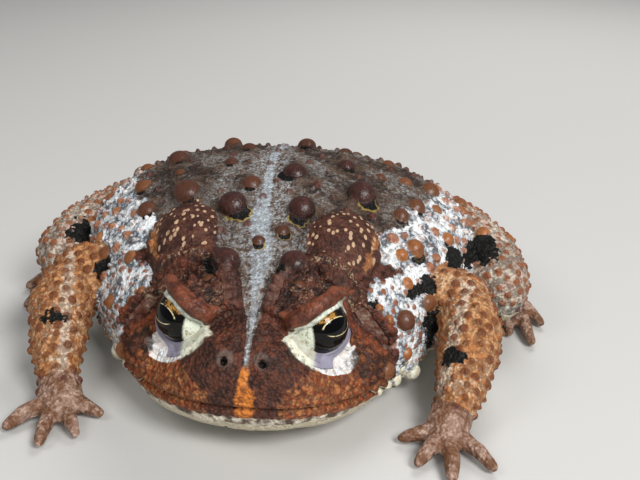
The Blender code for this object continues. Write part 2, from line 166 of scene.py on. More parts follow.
def storeMarks(piece, marks):  # as numbers on the mesh's points, for its material
    for name, values in marks.items():
        attribute = piece.data.attributes.new(name, "FLOAT", "POINT")
        attribute.data.foreach_set("value", np.asarray(values, np.float32))


def wobble(points, size, seed=0.0):  # smooth noise from -1 to 1 with lumps of this size
    shifted = points / size + seed
    return np.array([fieldNoise.noise(Vector(point)) for point in shifted])


def treeOf(points):
    tree = KDTree(len(points))
    for index, point in enumerate(points):
        tree.insert(point, index)
    tree.balance()
    return tree


# The highest dome over each point: 1 at a spot's middle, 0 at its edge
def domesAt(tree, count, spots, reach=1.0):
    field = np.zeros(count)
    owner = np.full(count, -1)
    for number, (spot, radius) in enumerate(spots):
        found = tree.find_range(Vector(spot), radius * reach)
        if found:
            which = np.array([hit[1] for hit in found])
            share = 1 - np.array([hit[2] for hit in found]) / (radius * reach)
            higher = share > field[which]
            field[which[higher]] = share[higher]
            owner[which[higher]] = number
    return field, owner


def spread(points, weights, spacing, sizes, taken):  # seeded spots that keep their distance from each other
    cells = {}
    cellSize = 3.0

    def cellOf(point):
        return tuple(int(value // cellSize) for value in point)

    for point, radius in taken:
        cells.setdefault(cellOf(point), []).append((point, radius))
    found = []
    order = chance.permutation(np.flatnonzero(weights > 0.02))
    luck = chance.random(len(order))
    sizeLuck = chance.random(len(order))
    for index, keep, share in zip(order, luck, sizeLuck):
        if keep > weights[index]:
            continue
        point = points[index]
        radius = sizes[0] + (sizes[1] - sizes[0]) * share
        cell = cellOf(point)
        clear = True
        for dx in (-1, 0, 1):
            for dy in (-1, 0, 1):
                for dz in (-1, 0, 1):
                    for other, reach in cells.get((cell[0] + dx, cell[1] + dy, cell[2] + dz), ()):
                        gap = max(spacing * (radius + sizes[1]) / (2 * sizes[1]), reach + radius * 0.7)
                        if np.linalg.norm(point - other) < gap:
                            clear = False
        if clear:
            found.append((point, radius))
            cells.setdefault(cell, []).append((point, radius))
    return found


# Flesh: merged copies of the solids, swollen over the gaps between them and softened

fleshLook = {
    "trunk": {"swell": 0.30, "voxel": 0.60, "rounds": 40},
    "limbs": {"swell": 0.24, "voxel": 0.42, "rounds": 14},
    "voxel": 0.42,
    "rounds": 4,
    "detailVoxel": 0.34,
    "detailRounds": 3,
    "mostTriangles": 194000,
}


def softCopy(name, sources, look):
    copies = []
    for source in sources:
        copy = bpy.data.objects.new(name, nodes[source].data.copy())
        bpy.context.scene.collection.objects.link(copy)
        copies.append(copy)
    piece = joinInto(copies[0], copies[1:])
    bpy.ops.object.mode_set(mode="EDIT")
    bpy.ops.mesh.select_all(action="SELECT")
    bpy.ops.mesh.remove_doubles(threshold=0.001 * mm)
    bpy.ops.object.mode_set(mode="OBJECT")
    finishWith(piece, "DISPLACE", strength=look["swell"] * mm, mid_level=0)
    finishWith(piece, "REMESH", mode="VOXEL", voxel_size=look["voxel"] * mm)
    finishWith(piece, "SMOOTH", factor=0.5, iterations=look["rounds"])
    return piece


bpy.ops.object.select_all(action="DESELECT")
skin = softCopy("toadSkin", trunkNodes + ["eye_left", "eye_right"], fleshLook["trunk"])
limbs = softCopy("limbs", limbNodes, fleshLook["limbs"])
joinInto(skin, [limbs])
finishWith(skin, "REMESH", mode="VOXEL", voxel_size=fleshLook["voxel"] * mm)
finishWith(skin, "SMOOTH", factor=0.5, iterations=fleshLook["rounds"])
print("flesh:", len(skin.data.vertices), "points")

# Eyes and lids. The lids' opening is an outline round the eye, in degrees from the middle of the
# opening: along the head, up, and how much it belongs to the upper lid.

eyeLook = {
    "centre": (10.6, -32.0, 18.35),
    "radius": 4.75,
    "bulge": 0.25,  # how far the cornea stands proud
    "segments": 80,
    "rings": 48,
    "facing": (0.66, -0.70, 0.27),  # the middle of the lids' opening
    "pupilAt": (3.0, 7.0),  # degrees along the head and up from there
    "pupilSize": (31.0, 16.0),
    "opening": [
        (-84, 4, 0.4), (-72, 16, 1.0), (-53, 20, 1.0), (-31, 28, 1.0), (-9, 35, 1.0), (18, 38, 1.0),
        (44, 38, 1.0), (63, 30, 0.8), (66, 12, 0.3), (58, -6, 0.0), (42, -26, 0.0), (22, -46, 0.0),
        (-4, -54, 0.0), (-28, -54, 0.0), (-46, -45, 0.0), (-63, -29, 0.0), (-78, -12, 0.1),
    ],
    "edge": 0.32,  # thickness of the lids' edge against the eye
    "skinGap": 0.32,  # the skin's least distance from the eye
    "slope": (0.55, 0.12),  # how fast the flesh may rise away from the opening, and how that grows
    "shapedWithin": 11.0,
    "shapedTo": (124, 108),  # degrees from the middle of the opening where that shaping has ended and fades
    # Widths from front to rear: of the pale skin above the eye, and of the lower lid
    "widthsAt": (-6.0, -4.6, -2.0, 1.5, 4.5),
    "paleWidths": (0.20, 0.25, 0.38, 0.50, 0.85),
    "lowerWidths": (0.90, 0.85, 0.75, 0.60, 0.35),
    # Width of the white skin below the lower lid
    "whiteAt": (-6.0, -4.0, -2.0, 0.0, 1.5, 3.0, 4.2),
    "whiteWidths": (0.1, 0.4, 1.0, 1.4, 2.0, 1.7, 0.0),
    "rollEnd": 3.3,  # where the upper lid's roll ends
    # Rolls of the lids: degrees across and up, distance from the eye's middle, and their radius.
    "upperRoll": [
        (-88, 26, 5.3, 0.65), (-78, 31, 5.75, 1.15), (-65, 36, 6.0, 1.45), (-46, 41, 6.0, 1.40),
        (-24, 48, 5.95, 1.20), (6, 56, 6.0, 1.08), (34, 61, 6.2, 1.02), (52, 57, 6.3, 0.98),
        (66, 49, 6.05, 0.78), (80, 40, 5.6, 0.50), (92, 31, 5.2, 0.30),
    ],
    "lowerRoll": [
        (-78, -24, 4.90, 0.28), (-62, -38, 5.00, 0.36), (-44, -53, 5.05, 0.44), (-25, -61, 5.10, 0.48),
        (-2, -61, 5.10, 0.46), (21, -52, 5.05, 0.40), (41, -33, 5.0, 0.34), (55, -12, 4.9, 0.28),
    ],
}


def eyeAxes():  # along the head, up and outwards, seen from the middle of the opening
    out = np.array(eyeLook["facing"])
    out = out / np.linalg.norm(out)
    along = np.cross((0, 0, 1), out)
    along = along / np.linalg.norm(along)
    return along, np.cross(out, along), out


def eyeDirection(across, lift):  # towards these degrees along the head and up
    along, up, out = eyeAxes()
    angle = math.radians(math.hypot(across, lift))
    turn = math.atan2(lift, across)
    return math.cos(angle) * out + math.sin(angle) * (math.cos(turn) * along + math.sin(turn) * up)


def eyeMap(local):  # flat map of directions round the eye, in millimetres on its surface, and the reach
    along, up, out = eyeAxes()
    offset = local - np.array(eyeLook["centre"])
    reach = np.linalg.norm(offset, axis=1)
    ahead = np.clip(offset @ out / np.maximum(reach, 1e-6), -1, 1)
    angle = np.arccos(ahead) * eyeLook["radius"]
    flat = np.stack([offset @ along, offset @ up], axis=1)
    length = np.maximum(np.linalg.norm(flat, axis=1), 1e-6)
    return flat / length[:, None] * angle[:, None], reach, offset


def aroundEye(local):  # the flat map, the reach, and the same two as from lidPlaces
    flat, reach, _ = eyeMap(local)
    return flat, reach, *lidPlaces(flat)


def lidPlaces(flat):  # signed distance from the opening's edge, and the upper lid's share there
    scale = math.radians(1) * eyeLook["radius"]
    outline = smoothPath(eyeLook["opening"], 10, closed=True)
    ring = outline[:, :2] * scale
    nearest = np.full(len(flat), 1e9)
    upper = np.zeros(len(flat))
    inside = np.zeros(len(flat), bool)
    for number in range(len(ring)):
        start = ring[number]
        end = ring[(number + 1) % len(ring)]
        step = end - start
        share = np.clip((flat - start) @ step / (step @ step), 0, 1)
        gap = np.linalg.norm(flat - start - share[:, None] * step, axis=1)
        nearer = gap < nearest
        nearest[nearer] = gap[nearer]
        upper[nearer] = outline[number, 2]
        crosses = (start[1] > flat[:, 1]) != (end[1] > flat[:, 1])
        level = start[0] + (flat[:, 1] - start[1]) / (step[1] if step[1] else 1e-9) * step[0]
        inside ^= crosses & (flat[:, 0] < level)
    return np.where(inside, -nearest, nearest), np.clip(upper, 0, 1)


def shapeLids(piece):  # opens the flesh round each eye, with a slope that leaves the lids free
    points = pointsOf(piece)
    for sign in sides.values():
        local = asLeftHead(points, sign)
        close = np.flatnonzero(gapTo(local, eyeLook["centre"]) < eyeLook["shapedWithin"])
        flat, reach, offset = eyeMap(local[close])
        edge, _ = lidPlaces(flat)
        size = eyeLook["radius"]
        rim = size + eyeLook["skinGap"]
        away = np.maximum(edge - 0.4, 0)
        limit = rim + eyeLook["slope"][0] * away + eyeLook["slope"][1] * away ** 2
        target = np.minimum(reach, limit)
        target = np.where(edge < 1.4, np.maximum(target, rim), target)
        target = np.where(edge < -0.1, size - 1.0, target)
        around = np.degrees(np.linalg.norm(flat, axis=1) / size)
        target = reach + (target - reach) * smoothStep(around, *eyeLook["shapedTo"])
        moved = offset / reach[:, None] * target[:, None] + np.array(eyeLook["centre"])
        points[close] = fromLeftHead(moved, sign)
    movePoints(piece, points)


def sweep(name, rows, sign, closed=False):  # a round roll on the eye's directions, as thick as each row says
    path = smoothPath(rows, 6, closed)
    curve = bpy.data.curves.new(name, "CURVE")
    curve.dimensions = "3D"
    curve.bevel_depth = mm
    curve.bevel_resolution = 3
    curve.use_fill_caps = True
    line = curve.splines.new("POLY")
    line.points.add(len(path) - 1)
    line.use_cyclic_u = closed
    for point, (across, lift, reach, radius) in zip(line.points, path):
        place = np.array(eyeLook["centre"]) + eyeDirection(across, lift) * reach
        point.co = (*(onHead(place, sign) * mm), 1)
        point.radius = radius
    piece = bpy.data.objects.new(name, curve)
    bpy.context.scene.collection.objects.link(piece)
    pickOnly(piece)
    bpy.ops.object.convert(target="MESH")
    return bpy.context.object


shapeLids(skin)
rim = []
for across, lift, upper in eyeLook["opening"]:  # thinner towards the front corner
    rim.append((across, lift, eyeLook["radius"] + 0.12, eyeLook["edge"] * min(1.0, (104 + across) / 40)))
lids = []
for sign in sides.values():
    lids.append(sweep("lidEdge", rim, sign, closed=True))
    lids.append(sweep("upperRoll", eyeLook["upperRoll"], sign))
    lids.append(sweep("lowerRoll", eyeLook["lowerRoll"], sign))

# Main warts, about where the solids have theirs: x, y, radius, how orange, black foot, yellow rim,
# and how far to the side the foot lies. What a row leaves out at its end is 0.

wartLook = {
    "values": 5,  # that belong to a wart besides its place
    "sink": 0.16,
    "height": 0.92,
    "back": [
        (-4.6, -25.4, 2.65, 0.0, 0.7, 0.3, -1.0), (6.5, -25.2, 2.65, 0.0, 0.7, 0.3, -1.0),
        (-0.2, -19.3, 1.25, 0.1, 1, 0.9), (3.3, -15.8, 1.5, 0.1, 1, 0.5, 0.5),
        (-6.3, -10.2, 2.75, 0.0, 0.9, 1, 0.7), (6.0, -10.4, 2.6, 0.0, 1, 0.6),
        (-16.2, -3.6, 2.8, 0.1, 0.2, 0, 0.3), (-23.0, -6.4, 2.1, 0.15, 0.5, 0, 0.3),
        (-26.2, 2.9, 2.1, 0.35, 0.2), (-28.6, 14.0, 1.8, 0.4), (-21.9, 13.8, 2.5, 0.1, 0.3, 0, 0.3),
        (-19.5, 5.0, 1.2, 0.2), (-34.6, 8.0, 1.4, 0.6), (-4.4, -1.6, 2.1, 0.15, 0.3),
        (3.1, 3.6, 2.45, 0.0, 1, 0.2, -0.7), (16.1, -2.0, 2.8, 0.0, 0.8, 1, 0.8), (29.0, 11.5, 2.15, 0.3),
        (26.3, 1.8, 1.95, 0.25, 0.3, 0, 0.3), (23.5, -3.8, 1.7, 0.2, 0.3), (24.0, 9.8, 1.6, 0.4),
        (19.2, 7.3, 1.3, 0.2), (20.4, 18.4, 1.6, 0.3), (12.3, 10.0, 2.0, 0.0, 0.6, 0, 0.4),
        (35.8, 21.0, 1.7, 0.5), (32.4, -1.4, 1.5, 0.9, 0.2), (26.3, -9.7, 2.0, 0.6, 0.8, 0.3, 0.9),
        (24.0, -12.8, 1.4, 0.9), (30.2, 5.0, 1.3, 0.7), (-13.0, 26.0, 2.0, 0.2), (11.6, 17.5, 1.8, 0.1),
        (-32.0, 21.0, 1.9, 0.5), (30.6, 28.0, 1.8, 0.5), (-10.0, 8.0, 1.5, 0.1, 0.4),
        (-8.0, 17.0, 1.8, 0.1, 0.5), (3.4, 21.0, 2.0, 0.1, 0.7), (-16.0, 36.0, 1.9, 0.2, 0.4),
        (13.0, 33.0, 1.9, 0.2, 0.5), (-3.0, 34.0, 1.7, 0.1), (22.0, 31.0, 1.8, 0.3),
        (-24.0, 27.0, 1.8, 0.3),
    ],
    # Flanks, cheeks and jaw corners: a point near the surface, then the same as above.
    "sides": [
        (40.1, 10.4, 17.8, 1.5, 0.9, 0.2), (45.0, 11.5, 16.0, 1.2, 0.9), (35.0, 17.0, 18.0, 1.6, 0.8),
        (24.6, -15.7, 18.2, 1.3, 0.9), (28.5, -14.7, 14.5, 1.7, 0.4, 0.5, 0, 0.6),
        (24.0, -19.9, 13.1, 2.0, 0.2, 0.4), (-29.5, -11.2, 18.2, 1.6, 0.4, 0.3),
        (-31.5, -6.0, 18.7, 1.4, 0.9), (-23.0, -15.9, 19.6, 1.5, 0.6), (-24.3, -19.3, 12.3, 1.6, 0.6),
        (-38.3, 7.2, 16.2, 1.3, 0.9), (-36.0, 12.0, 18.0, 1.6, 0.8, 0.3), (25.6, -23.0, 9.0, 1.3, 0.9),
        (27.0, -21.0, 4.4, 1.7, 2.0), (25.0, -25.0, 4.0, 1.5, 2.0), (21.6, -28.6, 9.0, 1.7, 0.5, 0.3),
        (-24.0, -22.0, 5.0, 1.7, 2.0), (-20.4, -27.6, 8.6, 1.7, 0.6), (7.4, -28.6, 22.6, 1.15, 0.2, 0.3),
        (-6.4, -28.6, 22.6, 1.15, 0.2, 0.3), (20.6, -23.4, 17.4, 0.85, 0.9, 0.9, 0, -0.8),
        (21.6, -22.8, 14.9, 0.95, 0.9, 0.9, 0, -0.8), (-19.0, -23.4, 17.4, 0.85, 0.9, 0.9, 0, 0.8),
        (-20.0, -22.8, 14.9, 0.95, 0.9, 0.9, 0, 0.8), (23.4, -22.4, 6.6, 0.95, 2.0),
        (-22.4, -22.4, 6.6, 0.95, 2.0), (22.2, -26.4, 5.2, 1.1, 2.0), (20.6, -29.0, 5.6, 0.95, 2.0),
        (-21.2, -26.4, 5.2, 1.1, 2.0),
    ],
}


def surfaceOf(piece):
    faces = [tuple(face.vertices) for face in piece.data.polygons]
    return BVHTree.FromPolygons([tuple(point) for point in pointsOf(piece)], faces)


def wartPlaces(piece):
    surface = surfaceOf(piece)
    found = []
    for x, y, *look in wartLook["back"]:
        point, normal, _, _ = surface.ray_cast(Vector((x, y, 60)), Vector((0, 0, -1)))
        found.append((point, normal, *look, *[0] * (wartLook["values"] - len(look))))
    for x, y, z, *look in wartLook["sides"]:
        point, normal, _, _ = surface.find_nearest(Vector((x, y, z)))
        found.append((point, normal, *look, *[0] * (wartLook["values"] - len(look))))
    return found


def wartPattern():  # one dome, drawn in a little at its foot, that every wart is a copy of
    bpy.ops.object.select_all(action="DESELECT")
    bpy.ops.mesh.primitive_ico_sphere_add(subdivisions=4, radius=1.0)
    piece = bpy.context.object
    bpy.ops.object.mode_set(mode="EDIT")
    bpy.ops.mesh.select_mode(type="VERT")
    bpy.ops.mesh.select_all(action="DESELECT")
    bm = bmesh.from_edit_mesh(piece.data)
    for vertex in bm.verts:
        vertex.select = vertex.co.z < 0.25
    bmesh.update_edit_mesh(piece.data)
    bpy.ops.transform.resize(value=(0.94, 0.94, 1.15))
    bpy.ops.object.mode_set(mode="OBJECT")
    return piece


def makeWarts(places):
    pattern = wartPattern()
    made = []
    for point, normal, radius, *_ in places:
        copy = bpy.data.objects.new("wart", pattern.data.copy())
        bpy.context.scene.collection.objects.link(copy)
        turn = normal.to_track_quat("Z", "Y").to_matrix().to_4x4()
        size = Matrix.Diagonal((radius * mm, radius * mm, radius * wartLook["height"] * mm, 1))
        place = Matrix.Translation((point - normal * radius * wartLook["sink"]) * mm)
        copy.data.transform(place @ turn @ size)
        made.append(copy)
    bpy.data.objects.remove(pattern)
    return made


warts = wartPlaces(skin)
joinInto(skin, lids + makeWarts(warts))
finishWith(skin, "REMESH", mode="VOXEL", voxel_size=fleshLook["detailVoxel"] * mm)
finishWith(skin, "SMOOTH", factor=0.5, iterations=fleshLook["detailRounds"])


def keepLargest(piece):  # drops the closed shells that a remesh leaves inside
    pickOnly(piece)
    bpy.ops.object.mode_set(mode="EDIT")
    bpy.ops.mesh.select_all(action="SELECT")
    bpy.ops.mesh.separate(type="LOOSE")
    bpy.ops.object.mode_set(mode="OBJECT")
    shells = sorted(bpy.context.selected_objects, key=lambda shell: len(shell.data.vertices))
    for shell in shells[:-1]:
        bpy.data.objects.remove(shell)
    return shells[-1]


skin = keepLargest(skin)
skin.name = "toadSkin"
print("skin with lids and warts:", len(skin.data.vertices), "points,", len(skin.data.polygons), "faces")

# Relief of the head: crests, mouth, nostrils and ear discs, as lines and spots of its left side

headLook = {
    "crest": [
        (2.5, -35.4, 20.2), (2.9, -32.6, 21.8), (3.5, -30.0, 23.0), (4.3, -27.8, 24.0), (6.0, -26.0, 24.6),
        (8.4, -25.0, 23.9), (11.7, -24.6, 22.9), (14.8, -24.6, 21.6), (17.4, -25.6, 20.0),
    ],
    "canthus": [(2.6, -42.0, 16.0), (4.6, -40.0, 17.6), (7.2, -37.0, 18.6)],
    "behindEye": [
        (16.4, -27.2, 20.6), (17.4, -26.4, 19.0), (18.4, -25.8, 17.4),
        (19.8, -24.8, 14.6), (20.8, -24.0, 12.4),
    ],
    "cheek": (18.4, -30.6, 11.6),
    "cheekRadius": 5.6,
    "mouth": [(-47.0, 10.4), (-42.0, 9.4), (-34.0, 7.2), (-28.0, 5.6), (-24.0, 5.4)],
    "nostril": (2.9, -41.8, 16.3),
    "ear": (20.2, -24.4, 15.6),
    "earRadius": 2.2,
}


def crestPlaces(local):  # distance to the crest, its strength, how beaded it is, and the place along it
    flatter = np.array((1, 1, 0.35))  # height counts less in the distance to a line on top of the head
    gap, place = alongLine(local * flatter, [np.array(row) * flatter for row in headLook["crest"]])
    return gap, smoothStep(place, 0.0, 3.0), smoothStep(place, 9.5, 12.0), place


def mouthLevel(points):  # height above the line of the mouth
    rows = np.array(headLook["mouth"])
    return points[:, 2] - np.interp(points[:, 1], rows[:, 0], rows[:, 1])


def ridgePlaces(local):  # distance to the ridge behind the eye, and the place along it
    return alongLine(local, [nearestPoint(local, row) for row in headLook["behindEye"]])


def headRelief(points, nearHead):
    lift = np.zeros(len(points))
    for sign in sides.values():
        local = asLeftHead(points, sign)
        own = smoothStep(local[:, 0], -0.6, 0.6) * nearHead
        gap, strength, beaded, place = crestPlaces(local)
        folds = 0.42 * np.sin(place * 2 * math.pi / 1.6 + wobble(local, 2.5, 4.0))
        rope = (1.20 + folds) * hump(gap, 0, 0.95) - 0.40 * hump(gap, 2.1, 0.6)
        lift += own * strength * (rope * (1 - beaded) + beaded * 0.55 * hump(gap, 0, 1.4))
        offCrest = np.maximum(smoothStep(gap, 1.3, 2.0), beaded)
        gap, place = alongLine(local, headLook["canthus"])
        lift += own * 0.35 * hump(gap, 0, 1.1)
        gap, place = ridgePlaces(local)
        lift += own * smoothStep(place, 0.0, 2.0) * (1.5 * hump(gap, 0, 0.90) - 0.9 * hump(gap, 2.1, 0.8))
        gap = gapTo(local, headLook["cheek"])
        lift += own * 1.30 * hump(gap, 0, 3.2)
        flat, reach, edge, upper = aroundEye(local)
        above = own * upper * (reach < 11)
        visor = above * smoothStep(edge, 3.2, 3.9) * smoothStep(edge, 8.5, 6.5)
        lift += 0.35 * visor * offCrest * wobble(local, 1.6, 1.0) - 0.5 * above * hump(edge, 3.8, 0.4)
        roll = above * smoothStep(edge, 1.0, 1.5) * smoothStep(edge, 3.7, 3.1)
        lift += roll * wobble(local, 1.3, 7.0) * (0.14 + 0.26 * smoothStep(flat[:, 0], -1.0, -3.6))
        gap = gapTo(local, nearestPoint(local, headLook["nostril"]))
        lift += own * (0.25 * hump(gap, 1.05, 0.40) - 1.6 * hump(gap, 0, 0.55))
        gap = gapTo(local, headLook["ear"])
        ring = headLook["earRadius"]
        lift += own * (0.30 * hump(gap, ring, 0.4) - 0.15 * smoothStep(gap, ring, ring - 1.0))
    level = mouthLevel(points)
    front = smoothStep(points[:, 1], -23.2, -25.0) * nearHead
    lips = 0.22 * hump(level, 0.95, 0.55) + 0.16 * hump(level, -0.9, 0.5)
    lift += front * (lips - 0.75 * hump(level, 0, 0.3))
    return lift


# The glands behind the eyes, as squashed balls that are turned and rolled

glandLook = {
    "centre": (13.2, -14.2, 22.6),
    "radii": (6.5, 9.5, 5.4),
    "turn": 14.0,
    "roll": 22.0,
}


def glandReach(points, sign):  # 1 on the ball's surface, less inside
    spreadOut = Matrix.Rotation(math.radians(-sign * glandLook["turn"]), 3, "Z")
    rollOut = Matrix.Rotation(math.radians(sign * glandLook["roll"]), 3, "Y")
    turned = np.array(spreadOut @ rollOut)
    offset = points - onHead(glandLook["centre"], sign)
    return np.linalg.norm(offset @ turned / np.array(glandLook["radii"]), axis=1)


def regionsOf(points):  # how much each point belongs to each group of solids
    groups = {"torso": ["torso"], "head": ["head", "lower_jaw", "eye_left", "eye_right"]}
    paired = {"gland": ["parotoid_gland"], "arm": ["upper_arm", "forearm"]}
    paired.update({part: [part] for part in ("hand", "thigh", "shank", "foot")})
    for group, parts in paired.items():
        groups[group] = [part + "_" + side for part in parts for side in sides]
    gaps = []
    for names in groups.values():
        places = []
        faces = []
        for name in names:
            first = len(places)
            places += [tuple(vertex.co / mm) for vertex in nodes[name].data.vertices]
            faces += [tuple(first + corner for corner in face.vertices) for face in nodes[name].data.polygons]
        surface = BVHTree.FromPolygons(places, faces)
        gaps.append([surface.find_nearest(Vector(point))[3] for point in points])
    shares = np.exp(-np.array(gaps) / 0.45)
    shares /= shares.sum(axis=0)
    return dict(zip(groups, shares))


points = pointsOf(skin)
nearHead = smoothStep(points[:, 1], -15.0, -19.0) * smoothStep(np.abs(points[:, 0]), 27.5, 25.5)
normals = normalsOf(skin)
lift = headRelief(points, nearHead)
for sign in sides.values():
    reach = glandReach(points, sign)
    lift += 0.75 * smoothStep(reach, 1.19, 1.04) - 0.55 * hump(reach, 1.27, 0.08)
lift += 0.22 * wobble(points, 4.2, 8.0) + 0.10 * wobble(points, 1.7, 5.0)
field, _ = domesAt(treeOf(points), len(points), [(place[0], place[2]) for place in warts], 1.2)
lift *= smoothStep(field, 0.35, 0.05)  # the warts stay smooth
floorFade = smoothStep(points[:, 2], 0.2, 1.6)
points = points + normals * (lift * floorFade)[:, None]
movePoints(skin, points)

# Small tubercles over the whole toad: where, how far apart, how large and how high

tubercleLook = {
    "dorsal": {"spacing": 4.6, "sizes": (0.65, 1.15), "height": 0.75},
    "flank": {"spacing": 2.7, "sizes": (0.60, 1.50), "height": 0.78},
    "limb": {"spacing": 2.0, "sizes": (0.70, 1.10), "height": 0.55},
    "back": {"spacing": 1.9, "sizes": (0.40, 0.80), "height": 0.26},
    "cheek": {"spacing": 1.7, "sizes": (0.45, 0.95), "height": 0.40},
    "mound": {"spacing": 1.35, "sizes": (0.60, 1.00), "height": 0.72},
    "visor": {"spacing": 1.30, "sizes": (0.60, 1.10), "height": 0.66},
    "snout": {"spacing": 1.1, "sizes": (0.35, 0.55), "height": 0.16},
}


sampleSize = 40000  # how many of the skin's points may carry one


def scatterTubercles(points, normals):
    order = chance.permutation(len(points))[:sampleSize]
    sample = points[order]
    upward = normals[order, 2]
    regions = regionsOf(sample)
    radial = np.hypot(sample[:, 0] / 39.0, (sample[:, 1] - 8) / 40.0)
    flank = regions["torso"] * smoothStep(radial, 0.66, 0.86) * smoothStep(sample[:, 2], 2.0, 5.0)
    back = regions["torso"] * smoothStep(radial, 0.86, 0.66)
    limb = (regions["arm"] + regions["thigh"] + regions["shank"] * 0.7) * smoothStep(upward, -0.6, -0.1)
    behindEye = smoothStep(sample[:, 1], -28.5, -26.0) * smoothStep(np.abs(sample[:, 0]), 15.5, 18.0)
    cheek = regions["head"] * smoothStep(sample[:, 2], 2.0, 4.0) * behindEye
    snout = regions["head"] * smoothStep(sample[:, 2], 8.0, 10.0) * (1 - behindEye)
    visor = np.zeros(len(sample))
    mound = np.zeros(len(sample))
    for sign in sides.values():
        local = asLeftHead(sample, sign)
        flat, reach, edge, upper = aroundEye(local)
        snout = snout * smoothStep(reach, 6.5, 8.0)
        own = (local[:, 0] > 0) * regions["head"]
        gap, strength, beaded, place = crestPlaces(local)
        offCrest = np.maximum(smoothStep(gap, 1.2, 1.9), np.maximum(beaded, 1 - strength))
        snout = snout * offCrest
        aboveEye = upper * smoothStep(edge, 3.3, 3.9) * smoothStep(reach, 11.0, 9.5)
        visor += own * offCrest * aboveEye * (local[:, 2] > 16)
        gap = gapTo(local, headLook["cheek"])
        mound += own * smoothStep(gap, headLook["cheekRadius"] + 0.8, headLook["cheekRadius"] - 1.0)
        mound *= smoothStep(reach, 5.6, 6.6)
        gap, place = alongLine(local, headLook["behindEye"])
        cheek = cheek * smoothStep(gap, 1.4, 2.2)
        mound = mound * smoothStep(gap, 1.4, 2.2)
    weights = {"dorsal": back, "flank": flank, "limb": limb, "mound": mound, "visor": visor, "cheek": cheek}
    weights.update({"back": back, "snout": snout})
    taken = [(np.array(place[0]), place[2] * 0.9) for place in warts]
    groups = {}
    for name, shares in weights.items():
        look = tubercleLook[name]
        groups[name] = spread(sample, shares, look["spacing"], look["sizes"], taken)
        taken = taken + groups[name]
    return groups


normals = normalsOf(skin)
tubercles = scatterTubercles(points, normals)
tree = treeOf(points)
lift = np.zeros(len(points))
for name, spots in tubercles.items():
    field, _ = domesAt(tree, len(points), spots)
    lift = np.maximum(lift, tubercleLook[name]["height"] * smoothStep(field, 0.0, 0.75))
points = points + normals * (lift * smoothStep(points[:, 2], 0.2, 1.6))[:, None]
points[:, 2] = np.maximum(points[:, 2], 0)
movePoints(skin, points)
coarse = skin.vertex_groups.new(name="coarse")  # the face keeps its full detail
face = (points[:, 1] < -22) & (points[:, 2] > 9) & (np.abs(points[:, 0]) < 21)
coarse.add(np.flatnonzero(~face).tolist(), 1.0, "REPLACE")
share = min(1.0, fleshLook["mostTriangles"] / (2 * len(skin.data.polygons)))
thinner = {"ratio": share, "vertex_group": "coarse", "vertex_group_factor": 1.0}
finishWith(skin, "DECIMATE", decimate_type="COLLAPSE", **thinner)
pickOnly(skin)
bpy.ops.object.shade_smooth()
print("tubercles:", {name: len(spots) for name, spots in tubercles.items()})
print("skin:", len(skin.data.polygons), "triangles")

# Markings, as numbers on the skin's points that the skin's material reads

markLook = {
    # Black patches: middle and three radii.
    "patches": [
        ((33.4, -3.6, 18.2), (2.6, 3.6, 1.9)), ((37.4, 3.0, 16.4), (4.0, 5.0, 2.0)),
        ((40.2, 7.0, 16.8), (2.2, 3.4, 1.7)),
        ((26.4, -10.0, 21.0), (1.7, 1.6, 1.2)), ((27.6, -13.6, 16.9), (2.6, 2.4, 2.2)),
        ((25.0, -16.6, 17.2), (2.0, 1.4, 1.3)), ((29.2, -15.2, 10.2), (2.2, 2.8, 4.6)),
        ((33.6, -25.4, 10.6), (3.4, 1.7, 1.5)), ((40.6, -13.6, 13.0), (1.8, 2.6, 1.2)),
        ((16.6, -20.8, 21.9), (1.2, 1.2, 1.6)), ((19.8, -23.9, 16.8), (1.4, 1.3, 3.0)),
        ((-38.5, 4.0, 15.5), (4.2, 4.6, 2.0)), ((-29.0, -13.0, 15.5), (2.4, 2.0, 3.0)),
        ((-35.0, -24.0, 11.0), (2.6, 1.8, 1.8)), ((-37.5, 22.0, 14.5), (3.4, 3.8, 2.0)),
        ((36.5, 24.0, 13.5), (3.6, 3.4, 2.2)), ((44.0, 20.0, 8.0), (1.6, 3.4, 2.0)),
        ((-44.0, 18.0, 8.4), (1.6, 3.2, 2.2)),
    ],
    # Pale stripe down the middle: y, x, half width.
    "stripe": [
        (-44.0, 1.7, 0.15), (-38.7, 1.6, 0.22), (-35.0, 1.5, 0.40), (-31.0, 1.3, 0.8), (-27.0, 1.0, 1.1),
        (-23.0, 0.7, 1.8), (-19.0, 0.4, 2.0), (-14.0, -0.9, 2.0), (-9.0, -1.1, 1.2), (-3.0, -1.2, 0.8),
        (6.0, -1.9, 0.7), (16.0, -2.2, 0.7), (26.0, -1.0, 0.6), (40.0, 0.0, 0.5),
    ],
    # Grey skin on both sides of the stripe: y, half width.
    "nape": [
        (-44.0, 0.4), (-38.7, 0.5), (-35.0, 1.0), (-31.0, 2.1), (-27.0, 2.8), (-24.5, 3.6), (-21.5, 7.5),
        (-12.0, 8.0), (-6.0, 5.0), (4.0, 3.4), (40.0, 2.4),
    ],
}


def patchField(points):
    field = np.zeros(len(points))
    for middle, radii in markLook["patches"]:
        reach = np.linalg.norm((points - np.array(middle)) / np.array(radii), axis=1)
        field = np.maximum(field, smoothStep(reach, 1.9, 0.1))
    return field


